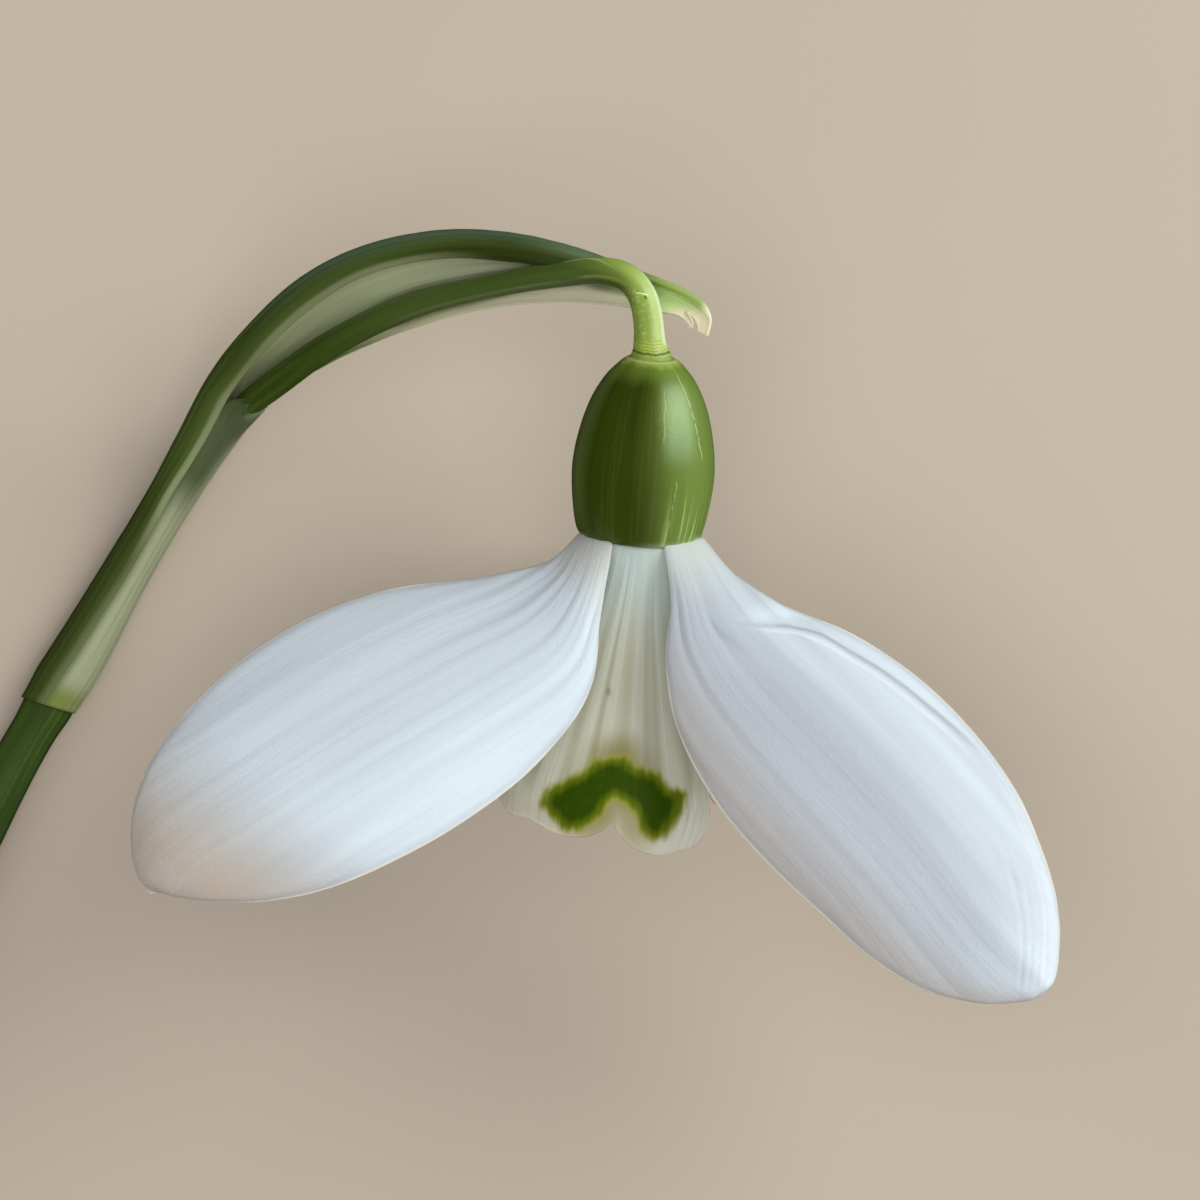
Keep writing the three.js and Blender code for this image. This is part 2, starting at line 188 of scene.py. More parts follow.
def place(gx, gy, height):
    """A point of the drawing at a height, in millimetres."""
    near = 1 - (height - AXIS_HEIGHT) / EYE
    x = (gx - MIDDLE[0]) * near + MIDDLE[0] - BASE[0]
    y = (gy - MIDDLE[1]) * near + MIDDLE[1] - BASE[1]
    return np.array((x / GRID, -y / GRID, height))


def on_drawing(points):
    """Where points in millimetres lie on the drawing."""
    near = 1 - (points[..., 2] - AXIS_HEIGHT) / EYE
    gx = (points[..., 0] * GRID + BASE[0] - MIDDLE[0]) / near + MIDDLE[0]
    gy = (-points[..., 1] * GRID + BASE[1] - MIDDLE[1]) / near + MIDDLE[1]
    return gx, gy


def soft_step(x, low, high):
    """A smooth rise from 0 at low to 1 at high."""
    t = np.clip((x - low) / (high - low), 0, 1)
    return t * t * (3 - 2 * t)


def window(x, begin, full, ebb, end):
    """A smooth rise from 0 to 1, and a fall back to 0."""
    return soft_step(x, begin, full) * (1 - soft_step(x, ebb, end))


def hump(x, width):
    """A smooth hump, 1 high at 0."""
    return np.exp(-((x / width) ** 2))


def profile(pairs):
    """A value that runs smoothly through (place, value) pairs."""
    xs = np.array([p[0] for p in pairs], float)
    ys = np.array([p[1] for p in pairs], float)
    slopes = np.gradient(ys, xs)
    slopes[0] = (ys[1] - ys[0]) / (xs[1] - xs[0])
    slopes[-1] = (ys[-1] - ys[-2]) / (xs[-1] - xs[-2])

    def read(x):
        x = np.clip(x, xs[0], xs[-1])
        k = np.clip(np.searchsorted(xs, x, side="right") - 1, 0, len(xs) - 2)
        span = xs[k + 1] - xs[k]
        t = (x - xs[k]) / span
        return (
            ys[k] * (2 * t**3 - 3 * t**2 + 1)
            + slopes[k] * span * (t**3 - 2 * t**2 + t)
            + ys[k + 1] * (3 * t**2 - 2 * t**3)
            + slopes[k + 1] * span * (t**3 - t**2)
        )

    return read


def smooth_line(points, samples=481):
    """Samples of a curve through points, evenly spaced by point."""
    p = [np.asarray(q, float) for q in points]
    p = [2 * p[0] - p[1], *p, 2 * p[-1] - p[-2]]
    out = []
    for s in np.linspace(0, len(points) - 1, samples):
        k = min(int(s), len(points) - 2)
        w = s - k
        x0, x1, x2, x3 = p[k : k + 4]
        steps = ((x0, x1), (x1, x2), (x2, x3))
        d0, d1, d2 = (max(np.linalg.norm(b - a), 1e-6) ** 0.5 for a, b in steps)
        t1 = ((x1 - x0) / d0 - (x2 - x0) / (d0 + d1) + (x2 - x1) / d1) * d1
        t2 = ((x2 - x1) / d1 - (x3 - x1) / (d1 + d2) + (x3 - x2) / d2) * d1
        square = -3 * x1 + 3 * x2 - 2 * t1 - t2
        cube = 2 * x1 - 2 * x2 + t1 + t2
        out.append(x1 + t1 * w + square * w**2 + cube * w**3)
    return np.array(out)


def evenly(line, samples=481):
    """The same curve, its samples evenly spaced by length."""
    lengths = np.r_[0, np.cumsum(np.linalg.norm(np.diff(line, axis=0), axis=1))]
    wanted = np.linspace(0, lengths[-1], samples)
    return read_line(line, np.interp(wanted, lengths, np.linspace(0, 1, len(line))))


def read_line(line, v):
    """Points of a sampled curve at places from 0 to 1."""
    ts = np.linspace(0, 1, len(line))
    return np.stack([np.interp(v, ts, line[:, k]) for k in range(line.shape[1])], -1)


def normals_of(points):
    """The direction that a grid of points faces at each of them."""
    across = np.gradient(points, axis=1)
    along = np.gradient(points, axis=0)
    n = np.cross(across, along)
    return n / np.maximum(np.linalg.norm(n, axis=-1, keepdims=True), 1e-9)


# Modelling


def clear_selection():
    """Leaves edit mode, with nothing selected."""
    if bpy.context.object and bpy.context.object.mode != "OBJECT":
        bpy.ops.object.mode_set(mode="OBJECT")
    bpy.ops.object.select_all(action="DESELECT")


def choose(piece):
    """Leaves one piece selected and active."""
    clear_selection()
    bpy.context.view_layer.objects.active = piece
    piece.select_set(True)


def read_points(piece):
    flat = np.empty(len(piece.data.vertices) * 3)
    piece.data.vertices.foreach_get("co", flat)
    return flat.reshape(-1, 3)


def move_points(piece, points):
    piece.data.vertices.foreach_set("co", points.ravel())
    piece.data.update()


def new_grid(name, across, along):
    """A grid added at the origin, with the column and row of each of its points."""
    clear_selection()
    bpy.ops.mesh.primitive_grid_add(x_subdivisions=across, y_subdivisions=along, size=2, calc_uvs=True)
    piece = bpy.context.object
    piece.name = piece.data.name = name
    points = read_points(piece)
    column = np.rint((points[:, 0] + 1) / 2 * across).astype(int)
    row = np.rint((points[:, 1] + 1) / 2 * along).astype(int)
    return piece, column, row


def shape_grid(piece, column, row, points):
    """Moves a grid's points to their places, given by row and column in millimetres."""
    points = points.copy()
    points[..., 2] = np.maximum(points[..., 2], FLOOR_LEAST)
    move_points(piece, (points[row, column] + FLOWER_PLACE) * MM)


def keep_values(piece, name, column, row, values):
    """Stores one number a point, which materials read by its name."""
    layer = piece.data.attributes.new(name, "FLOAT", "POINT")
    layer.data.foreach_set("value", values[row, column].astype(np.float32))


def in_edit_mode(piece, work):
    """Does some work in edit mode on all of a piece."""
    choose(piece)
    bpy.ops.object.mode_set(mode="EDIT")
    bpy.ops.mesh.select_all(action="SELECT")
    work()
    bpy.ops.object.mode_set(mode="OBJECT")


def choose_faces(piece, wanted):
    """Enters edit mode with only the wanted faces selected."""
    choose(piece)
    bpy.ops.object.mode_set(mode="EDIT")
    bpy.ops.mesh.select_mode(type="FACE")
    bpy.ops.mesh.select_all(action="DESELECT")
    bpy.ops.object.mode_set(mode="OBJECT")
    for face in piece.data.polygons:
        face.select = wanted(face)
    bpy.ops.object.mode_set(mode="EDIT")


def face_outward():
    bpy.ops.mesh.select_all(action="SELECT")
    bpy.ops.mesh.normals_make_consistent(inside=False)


def apply_modifier(piece, modifier):
    choose(piece)
    if "FINISHED" not in bpy.ops.object.modifier_apply(modifier=modifier.name):
        raise RuntimeError(f"{piece.name}: its modifier could not be applied")


def keep_above_floor(piece):
    points = read_points(piece)
    points[:, 2] = np.maximum(points[:, 2], FLOOR_LEAST * MM)
    move_points(piece, points)


def smooth(piece, angle=None):
    """Smooth shading, with edges sharper than an angle in degrees kept."""
    choose(piece)
    if angle is None:
        bpy.ops.object.shade_smooth()
    else:
        bpy.ops.object.shade_smooth_by_angle(angle=math.radians(angle))


def blade(name, points, thick, share, values=()):
    """A thin leaf through a grid of points: share is its thickness at its rim or at each point."""
    rows, columns = points.shape[:2]
    piece, column, row = new_grid(name, columns - 1, rows - 1)
    shape_grid(piece, column, row, points)
    for key, numbers in values:
        keep_values(piece, key, column, row, numbers)
    group = piece.vertex_groups.new(name="body")
    u = np.linspace(-1, 1, columns)[None, :]
    v = np.linspace(0, 1, rows)[:, None]
    full = (1 - soft_step(np.abs(u), 0.8, 1)) * (1 - soft_step(v, 0.93, 1))
    if np.ndim(share):
        full, share = share, 0.0
    weights = full[row, column]
    for index, weight in enumerate(weights.tolist()):
        group.add([index], weight, "REPLACE")
    shell = piece.modifiers.new("Thickness", "SOLIDIFY")
    shell.thickness = thick
    shell.offset = 0
    shell.vertex_group = group.name
    shell.thickness_vertex_group = share
    apply_modifier(piece, shell)
    keep_above_floor(piece)
    in_edit_mode(piece, face_outward)
    smooth(piece)
    return piece


def tube_points(line, radius, sides, steps):
    """Rows of points round a curve, the first column on its upper side."""
    v = np.linspace(0, 1, steps + 1)
    centre = read_line(line, v)
    way = np.gradient(centre, axis=0)
    way /= np.linalg.norm(way, axis=1, keepdims=True)
    above = np.array((0, 0, 1.0)) - way * way[:, 2:]
    above /= np.linalg.norm(above, axis=1, keepdims=True)
    beside = np.cross(way, above)
    turn = np.linspace(0, 2 * np.pi, sides + 1)
    r = radius(v[:, None], turn[None, :])[..., None]
    cos, sin = np.cos(turn)[None, :, None], np.sin(turn)[None, :, None]
    return centre[:, None] + r * (cos * above[:, None] + sin * beside[:, None])


def tube(name, points, values=()):
    """A round piece from rows of points, joined at its seam and closed at both ends."""
    rows, columns = points.shape[:2]
    piece, column, row = new_grid(name, columns - 1, rows - 1)
    shape_grid(piece, column, row, points)
    for key, numbers in values:
        keep_values(piece, key, column, row, numbers)

    def close():
        bpy.ops.mesh.remove_doubles(threshold=2e-7)
        bpy.ops.mesh.select_all(action="SELECT")
        bpy.ops.mesh.fill_holes(sides=0)
        face_outward()

    in_edit_mode(piece, close)
    smooth(piece, 50)
    return piece


# Materials


def rgba(colour):
    """A socket as it is, or three numbers with the fourth that an input needs."""
    return colour if isinstance(colour, bpy.types.NodeSocket) else (*colour, 1)


class Paint:
    """A material, its colour so far, and the few kinds of node that this flower's surfaces are made of."""

    def __init__(self, name):
        self.material = bpy.data.materials.new(name)
        self.material.use_nodes = True
        self.tree = self.material.node_tree
        self.tree.nodes.clear()
        uv = self.node("ShaderNodeUVMap", uv_map="UVMap")
        split = self.node("ShaderNodeSeparateXYZ", {0: uv.outputs[0]})
        self.u, self.v = split.outputs[0], split.outputs[1]
        turn = self.times(self.u, 2 * math.pi)
        self.cos, self.sin = self.maths("COSINE", turn), self.maths("SINE", turn)
        self.colour = None

    def node(self, kind, inputs=None, **settings):
        made = self.tree.nodes.new(kind)
        for key, setting in settings.items():
            setattr(made, key, setting)
        for key, source in (inputs or {}).items():
            if isinstance(source, bpy.types.NodeSocket):
                self.tree.links.new(source, made.inputs[key])
            else:
                made.inputs[key].default_value = source
        return made

    def maths(self, what, a, b=0.0, c=0.0):
        return self.node("ShaderNodeMath", {0: a, 1: b, 2: c}, operation=what).outputs[0]

    def times(self, first, *others):
        for other in others:
            first = self.maths("MULTIPLY", first, other)
        return first

    def plus(self, a, b):
        return self.maths("ADD", a, b)

    def line(self, x, slope, start):
        """A straight line of x."""
        return self.maths("MULTIPLY_ADD", x, slope, start)

    def apart(self, x, place):
        """How far x is from a place."""
        return self.maths("ABSOLUTE", self.maths("SUBTRACT", x, place))

    def soft(self, x, low, high, top=1.0):
        """A smooth rise from 0 at low to top at high."""
        inputs = {0: x, 1: low, 2: high, 3: 0.0, 4: top}
        return self.node("ShaderNodeMapRange", inputs, interpolation_type="SMOOTHSTEP").outputs[0]

    def near(self, x, place, reach, core=0.0, top=1.0):
        """Top where x is within core of a place, and 0 where it is further off than reach."""
        return self.soft(self.apart(x, place), reach, core, top)

    def band(self, x, begin, full, ebb, end, top=1.0):
        """A smooth rise from 0 to top, and a fall back to 0."""
        return self.times(self.soft(x, begin, full), self.soft(x, end, ebb, top))

    def mix(self, a, b, share):
        inputs = {0: share, 6: rgba(a), 7: rgba(b)}
        return self.node("ShaderNodeMix", inputs, data_type="RGBA").outputs[2]

    def lay(self, colour, share):
        """Lays a colour over what is there, by a share."""
        self.colour = self.mix(self.colour, colour, share)

    def vector(self, x, y, z=0.0):
        return self.node("ShaderNodeCombineXYZ", {0: x, 1: y, 2: z}).outputs[0]

    def noise(self, where, scale=1.0, detail=2.0, rough=0.5):
        inputs = {"Vector": where, "Scale": scale, "Detail": detail, "Roughness": rough}
        return self.node("ShaderNodeTexNoise", inputs).outputs[0]

    def swing(self, noise, reach):
        """A noise that swings about 0, as wide as reach in all."""
        return self.times(self.plus(noise, -0.5), reach)

    def strands(self, across, along, seed=0.0, detail=2.0, lane=None):
        """Noise drawn out along a blade: how many strands across it and how often they change."""
        x = self.times(self.u if lane is None else lane, across)
        return self.noise(self.vector(x, self.times(self.v, along), seed), 1.0, detail)

    def rings(self, round_scale, along, seed=0.0, detail=2.0):
        """Noise drawn out along a round stalk, with no seam."""
        x = self.plus(self.times(self.cos, round_scale), seed)
        y = self.times(self.sin, round_scale)
        return self.noise(self.vector(x, y, self.times(self.v, along)), 1.0, detail)

    def grain(self, scale, detail=3.0):
        """Fine noise that is alike in all directions."""
        return self.noise(self.node("ShaderNodeTexCoord").outputs["Object"], scale, detail)

    def kept(self, name):
        """A number that keep_values stored at each point."""
        return self.node("ShaderNodeAttribute", attribute_name=name, attribute_type="GEOMETRY").outputs[2]

    def finish(self, roughness, height=None, depth=0.0, through=None, through_colour=None, **more):
        """The finished material, with its bump in millimetres and the share of light that it lets through."""
        inputs = {"Base Color": rgba(self.colour), "Roughness": roughness}
        tint = self.colour if through_colour is None else through_colour
        glow_inputs = {"Color": rgba(tint)}
        if height is not None:
            bump = {"Strength": 1.0, "Distance": depth * MM, "Height": height}
            inputs["Normal"] = self.node("ShaderNodeBump", bump).outputs[0]
            glow_inputs["Normal"] = inputs["Normal"]
        for key, setting in more.items():
            inputs[key.replace("_", " ")] = setting
        body = self.node("ShaderNodeBsdfPrincipled", inputs).outputs[0]
        if through is not None:
            glow = self.node("ShaderNodeBsdfTranslucent", glow_inputs).outputs[0]
            body = self.node("ShaderNodeMixShader", {0: through, 1: body, 2: glow}).outputs[0]
        out = self.node("ShaderNodeOutputMaterial")
        self.tree.links.new(body, out.inputs[0])
        return self.material


def outer_paint(look):
    p = Paint("Outer tepal white")
    lane, rim, crease = p.kept("lane"), p.kept("rim"), p.kept("crease")
    streak = p.strands(5.0, 1.6, 1.3, 3.0, lane)
    vein = p.strands(24.0, 2.5, 4.1, 3.0, lane)
    cell = p.strands(55.0, 150.0, 7.7, 1.0, lane)
    blush = p.strands(2.4, 5.0, 9.2, 3.0, lane)
    # Painted light and shade: each tepal's lit value, with streaks, mixes its shaded white and its lit white
    lit = p.plus(p.kept("lit"), p.swing(streak, 0.7))
    p.colour = p.mix(look.tepal_shade, look.tepal_white, p.soft(lit, 0.0, 1.0))
    p.lay(TEPAL_VEIN, p.soft(vein, 0.5, 0.75, 0.18))
    p.lay(TEPAL_CLAW, p.soft(p.v, 0.15, 0.0, 0.75))
    p.lay(TEPAL_WARM, p.times(p.kept("warm"), p.soft(blush, -0.1, 0.48)))
    # Painted glints: fine sparkling flecks over the outer tepals
    p.lay(TEPAL_PAINTED_GLINT, p.soft(cell, 0.62, 0.8, 0.15))
    # Painted shade: a darker band just inside the rim
    p.lay(TEPAL_MARGIN_SHADE, p.soft(rim, 0.45, 0.2, 0.2))
    # Painted shade in the right tepal's crease and fold, and painted light on the ridge and margin beside it
    p.lay(CREASE_PAINTED_SHADE, p.soft(crease, 0.0, -1.0, 0.8))
    p.lay(CREASE_PAINTED_LIGHT, p.soft(crease, 0.0, 1.0))
    # Painted light: a warm cream glow of light through the thin rim
    p.lay(TEPAL_RIM_BACKLIGHT, p.soft(rim, 0.17, 0.06, 0.85))
    height = p.plus(p.times(vein, 0.6), p.times(cell, 0.3))
    return p.finish(
        p.line(cell, 0.24, 0.34), height, 0.045, look.tepal_glow, TEPAL_THROUGH, Specular_IOR_Level=0.35
    )


def inner_paint(look):
    p = Paint("Inner tepal cream with green mark")
    edge = p.maths("ABSOLUTE", p.line(p.u, 2.0, -1.0))
    mark = p.kept("mark")
    vein = p.strands(52.0, 1.1, 2.2, 3.0)
    cell = p.strands(150.0, 60.0, 7.7)
    rib = p.plus(p.kept("rib"), p.times(vein, 0.5))
    p.colour = p.mix(look.inner_furrow, look.inner_cream, p.soft(rib, 0.25, 1.0))
    p.lay(INNER_CLAW, p.soft(p.v, 0.42, 0.08, 0.85))
    p.lay(p.mix(LOBE_SHADED, LOBE_LIT, p.soft(p.u, 0.5, 0.85)), p.soft(p.v, 0.80, 0.97, 0.8))
    p.lay(LOBE_LIP, p.maths("MAXIMUM", p.soft(edge, 0.975, 0.995, 0.7), p.soft(p.v, 0.985, 0.994, 0.85)))
    p.lay(SPOT_BROWN, p.times(p.kept("spot"), 0.7))
    p.lay(MARK_STAIN, p.times(p.near(p.u, 0.54, 0.26, 0.02, 0.75), p.soft(mark, -1.5, -0.2)))
    streak = p.soft(vein, 0.35, 0.55, 0.85)
    p.lay(LOBE_STREAK, p.times(p.soft(p.u, 0.82, 0.9), p.soft(p.v, 0.74, 0.86), streak))
    inside = p.plus(mark, p.swing(p.strands(40.0, 9.0, 3.3, 4.0), 0.42))
    p.lay(MARK_OLIVE, p.soft(inside, -0.34, -0.02, 0.95))
    p.lay(MARK_EDGE, p.soft(inside, -0.16, 0.12))
    ends = p.soft(p.apart(p.u, 0.53), 0.2, 0.3, -0.16)
    p.lay(look.mark_green, p.soft(p.plus(inside, ends), 0.06, 0.42))
    clump = p.soft(p.strands(16.0, 28.0, 6.1, 3.0), 0.56, 0.72, 0.5)
    p.lay(MARK_CLUMP, p.times(clump, p.soft(inside, 0.05, 0.3)))
    height = p.plus(p.times(vein, 0.8), p.times(cell, 0.25))
    roughness = p.line(cell, 0.2, 0.36)
    return p.finish(roughness, height, 0.04, 0.2, Specular_IOR_Level=0.35, Specular_Tint=INNER_SHINE)


def ovary_paint(look):
    p = Paint("Ovary green")
    rise = p.kept("rise")
    right = p.soft(p.sin, -0.2, 0.8)
    broad = p.rings(1.6, 1.0, 2.0)
    streak = p.rings(15.0, 2.0, 5.0, 3.0)
    skin = p.rings(30.0, 90.0, 3.0, 2.0)

    def hairline(low, high, start, end, width, share):
        """A thin pale line up the side: its turn at each end, and how far up it runs."""
        slope = (high - low) / (end - start)
        wobble = p.swing(p.noise(p.vector(p.times(rise, 22.0), low * 90.0), 1.0, 3.0), 0.016)
        middle = p.plus(p.line(rise, slope, low - slope * start), wobble)
        broken = p.soft(p.noise(p.vector(p.times(rise, 30.0), low * 70.0), 1.0, 1.0), 0.3, 0.5)
        within = p.band(rise, start, start + 0.06, end - 0.06, end, share)
        return p.times(p.near(p.u, middle, width), within, broken)

    p.colour = p.mix(look.ovary_dark, look.ovary_green, p.soft(broad, 0.3, 0.7, 0.5))
    # The right side, which faces the lamps, is laid lighter: partly the ovary's own paler green, partly
    # painted light
    p.lay(OVARY_RIGHT_PALE_AND_LIT, p.times(right, 0.85))
    low_right = p.times(p.soft(rise, 0.42, 0.02), p.soft(p.sin, 0.15, 0.7), 0.95)
    p.lay(OVARY_STREAK, p.times(p.soft(streak, 0.5, 0.66), p.plus(low_right, 0.03)))
    p.lay(OVARY_HEM, p.times(right, p.soft(rise, 0.045, 0.0, 0.8)))
    # Painted sheen: a pale bluish patch on the upper right where the key light reflects
    p.lay(OVARY_PAINTED_SHEEN, p.times(p.near(p.sin, 0.5, 0.34, 0.05), p.band(rise, 0.42, 0.6, 0.82, 0.95, 0.5)))
    # Painted light: a lighter green rim along the left edge
    p.lay(OVARY_LEFT_RIM_LIGHT, p.soft(p.sin, -0.72, -0.98, 0.8))
    cap = p.plus(rise, p.swing(p.rings(2.5, 3.0, 9.0), 0.06))
    p.lay(CAP_GREEN, p.soft(cap, 0.84, 0.96, 0.75))
    p.lay(CAP_TOP, p.soft(cap, 0.94, 0.975, 0.8))
    # Painted highlight: a pale ring round the ovary's cap
    p.lay(CAP_PAINTED_HIGHLIGHT, p.near(rise, 0.974, 0.007, top=0.7))
    for row in HAIRLINES:
        p.lay(OVARY_HAIRLINE, hairline(*row))
    height = p.plus(p.times(streak, 0.3), p.times(skin, 0.45))
    roughness = p.line(skin, 0.14, 0.26)
    return p.finish(roughness, height, 0.02, Specular_IOR_Level=0.6, Specular_Tint=OVARY_SHINE)


def stalk_paint(name, dark, light, least_rough):
    """The start of a stalk's material, with its roughness and height."""
    p = Paint(name)
    fibre = p.rings(11.0, 1.5, 3.0, 3.0)
    skin = p.rings(30.0, 160.0)
    p.colour = p.mix(dark, light, p.soft(p.rings(1.5, 4.0, 6.0), 0.3, 0.7))
    p.lay([min(1.0, c * 1.6 + 0.02) for c in light], p.soft(fibre, 0.55, 0.75, 0.4))
    return p, p.line(skin, 0.25, least_rough), p.plus(p.times(fibre, 0.7), p.times(skin, 0.3))


def pedicel_paint(look):
    """The pedicel's green, its bend under the arch with painted shade and a painted highlight, its neck with
    painted light on the lamps' side, and the grooves of its joint with painted shadow where it meets the
    ovary.
    """
    p, roughness, height = stalk_paint("Pedicel green", PEDICEL_DARK, PEDICEL_LIGHT, 0.26)
    p.lay(PEDICEL_UPPER, p.soft(p.v, 0.32, 0.56, 0.75))
    # Painted highlight along the pedicel's lower flank
    p.lay(PEDICEL_FLANK_HIGHLIGHT, p.times(p.near(p.sin, 0.66, 0.28), p.band(p.v, 0.45, 0.6, 0.76, 0.83), 0.6))
    outward = p.line(p.sin, -0.045, p.v)
    p.lay(BEND_GREEN, p.soft(outward, 0.82, 0.865))
    p.lay(look.pedicel_green, p.soft(outward, 0.86, 0.9))
    # Painted light: the neck is laid paler on its side towards the lamps
    p.lay(NECK_LIT_SIDE, p.times(p.soft(p.v, 0.86, 0.93), p.soft(p.sin, 0.2, -0.6), 0.9))
    # Painted shade in a fold under the arch, and a painted highlight on the ridge above it
    fold = p.band(p.v, 0.81, 0.835, 0.885, 0.9)
    p.lay(BEND_FOLD_SHADE, p.times(fold, p.soft(p.sin, 0.62, 0.85, 0.8)))
    p.lay(BEND_RIDGE_HIGHLIGHT, p.times(fold, p.near(p.sin, 0.48, 0.18), 0.7))
    slant = p.plus(p.times(p.sin, -2.0), p.times(p.v, 260.0))
    scratch = p.noise(p.vector(p.times(p.sin, 3.5), slant, p.times(p.cos, 3.5)), 1.0, 4.0, 0.7)
    scratch = p.times(p.soft(scratch, 0.5, 0.68, 0.6), p.soft(p.v, 0.885, 0.925))
    p.lay(NECK_SCRATCH, scratch)
    path = p.plus(p.soft(p.v, 0.825, 0.89, 0.17), 0.83)
    p.lay(PEDICEL_LINE_PALE, p.times(p.near(p.u, path, 0.02), p.band(p.v, 0.6, 0.7, 0.845, 0.88), 0.85))
    p.lay(JOINT_YELLOW, p.soft(p.v, 0.968, 0.976, 0.55))
    wobble = p.swing(p.noise(p.vector(p.times(p.cos, 3.0), p.times(p.sin, 3.0), p.times(p.v, 60.0))), 0.004)
    slanted = p.plus(p.line(p.cos, -RING_SLANT, p.v), p.times(p.sin, RING_SIDE_SLANT))
    slanted = p.plus(slanted, wobble)
    # Dark grooves of the joint; the strongest, where the pedicel meets the ovary, is also painted shadow
    for at, width, share in JOINT_RINGS:
        p.lay(JOINT_GROOVE_AND_SHADOW, p.near(slanted, at, width, top=share))
    p.lay(JOINT_COLLAR, p.soft(slanted, 0.987, 0.990))
    # Painted highlight along the neck's right edge
    p.lay(NECK_EDGE_HIGHLIGHT, p.times(p.soft(p.sin, -0.72, -0.92), p.band(p.v, 0.88, 0.93, 0.975, 0.985), 0.8))
    facing = p.soft(p.cos, 0.3, 0.5)
    dash = p.near(p.line(p.sin, 0.0103, p.v), 0.9125, 0.0013, 0.0003)
    p.lay(NECK_DASH, p.times(dash, p.band(p.sin, -0.42, -0.32, 0.28, 0.38), facing))
    pit = p.times(p.near(p.v, 0.9175, 0.0026, 0.0008), p.near(p.sin, -0.13, 0.1, 0.03))
    p.lay(NECK_PIT, p.times(pit, facing))
    height = p.plus(height, p.times(scratch, 0.5))
    return p.finish(roughness, height, 0.035, Specular_IOR_Level=0.4)


def scape_paint(look):
    green = look.scape_green
    dark, light = [0.75 * c for c in green], [1.25 * c for c in green]
    p, roughness, height = stalk_paint("Scape green", dark, light, 0.33)
    p.lay(SCAPE_END, p.soft(p.v, 0.1, 0.0))
    return p.finish(roughness, height, 0.03, Specular_IOR_Level=0.35)


def cut_paint():
    p = Paint("Cut scape")
    pith = p.grain(2600.0)
    p.colour = p.mix(PITH_GREEN, PITH_PALE, p.soft(pith, 0.35, 0.65))
    p.lay(PITH_TUBES, p.soft(p.grain(1100.0, 1.0), 0.6, 0.72, 0.6))
    return p.finish(0.35, pith, 0.04)


def spathe_paint(look):
    """Green keels and a papery membrane, each with its veins."""
    p = Paint("Spathe keels and membrane")
    keel, calm = p.kept("keel"), p.kept("calm")
    vein = p.strands(70.0, 2.2, 2.2, 3.0)
    broad = p.strands(6.0, 3.0, 5.0)
    skin = p.strands(150.0, 190.0, 1.0)
    shade = [0.78 * c for c in look.membrane]
    p.colour = p.mix(shade, look.membrane, p.soft(broad, 0.3, 0.7))
    p.lay(MEMBRANE_VEIN, p.times(p.soft(vein, 0.52, 0.72, 0.4), calm))
    p.lay(MEMBRANE_GREEN, p.band(p.v, 0.26, 0.32, 0.5, 0.66, 0.4))
    for colour, name, share in (
        (MEMBRANE_SHADED, "shaded", 0.85),
        (MEMBRANE_VEILED, "veiled", 0.9),
        (MEMBRANE_MOUTH, "mouth", 0.85),
        (MEMBRANE_FOOT, "foot", 1.0),
        (MEMBRANE_TIP, "tip", 0.95),
    ):
        p.lay(colour, p.times(p.kept(name), share))
    membrane = p.colour
    p.colour = p.mix(look.keel_green, KEEL_BROAD, p.soft(broad, 0.35, 0.65))
    p.lay(KEEL_LOW, p.soft(p.v, 0.24, 0.1, 0.6))
    p.lay(KEEL_HIGH, p.soft(p.v, 0.62, 0.7, 0.75))
    p.lay(KEEL_TIP, p.kept("tip"))
    p.lay(KEEL_VEIN, p.times(p.soft(vein, 0.52, 0.75, 0.25), calm))
    # Painted reflection: a bluish sky sheen on the upper keel
    p.lay(KEEL_PAINTED_SKY_SHEEN, p.times(p.kept("blue"), 0.7))
    p.lay(KEEL_DEEP, p.times(p.kept("deep"), 0.85))
    p.colour = p.mix(membrane, p.colour, keel)
    p.lay(SPATHE_LIP, p.times(p.kept("lip"), 0.85))
    p.lay(MEMBRANE_EDGE, p.kept("pale"))
    height = p.plus(p.times(vein, 0.75, calm), p.times(skin, 0.25))
    sheer = p.line(keel, -0.14, 0.2)
    return p.finish(p.line(skin, 0.2, 0.34), height, 0.03, sheer, Specular_IOR_Level=0.4)


def speckled_paint(name, dark, light, scale, roughness, depth):
    p = Paint(name)
    fine = p.grain(scale)
    p.colour = p.mix(dark, light, p.soft(fine, 0.35, 0.65))
    return p.finish(roughness, fine, depth)


def style_paint():
    p = Paint("Style pale green")
    fine = p.rings(6.0, 3.0, 2.0, 2.0)
    p.colour = p.mix(STYLE_DARK, STYLE_LIGHT, p.soft(fine, 0.35, 0.65))
    p.lay(STYLE_TIP, p.soft(p.v, 0.6, 1.0, 0.6))
    return p.finish(0.42, fine, 0.02)


def dress(piece, slot, *materials):
    """Gives a piece its materials and its body; the slot is not used."""
    for material in materials:
        piece.data.materials.append(material)
    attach(piece, ROOT)
    return piece


# Shapes of the pieces

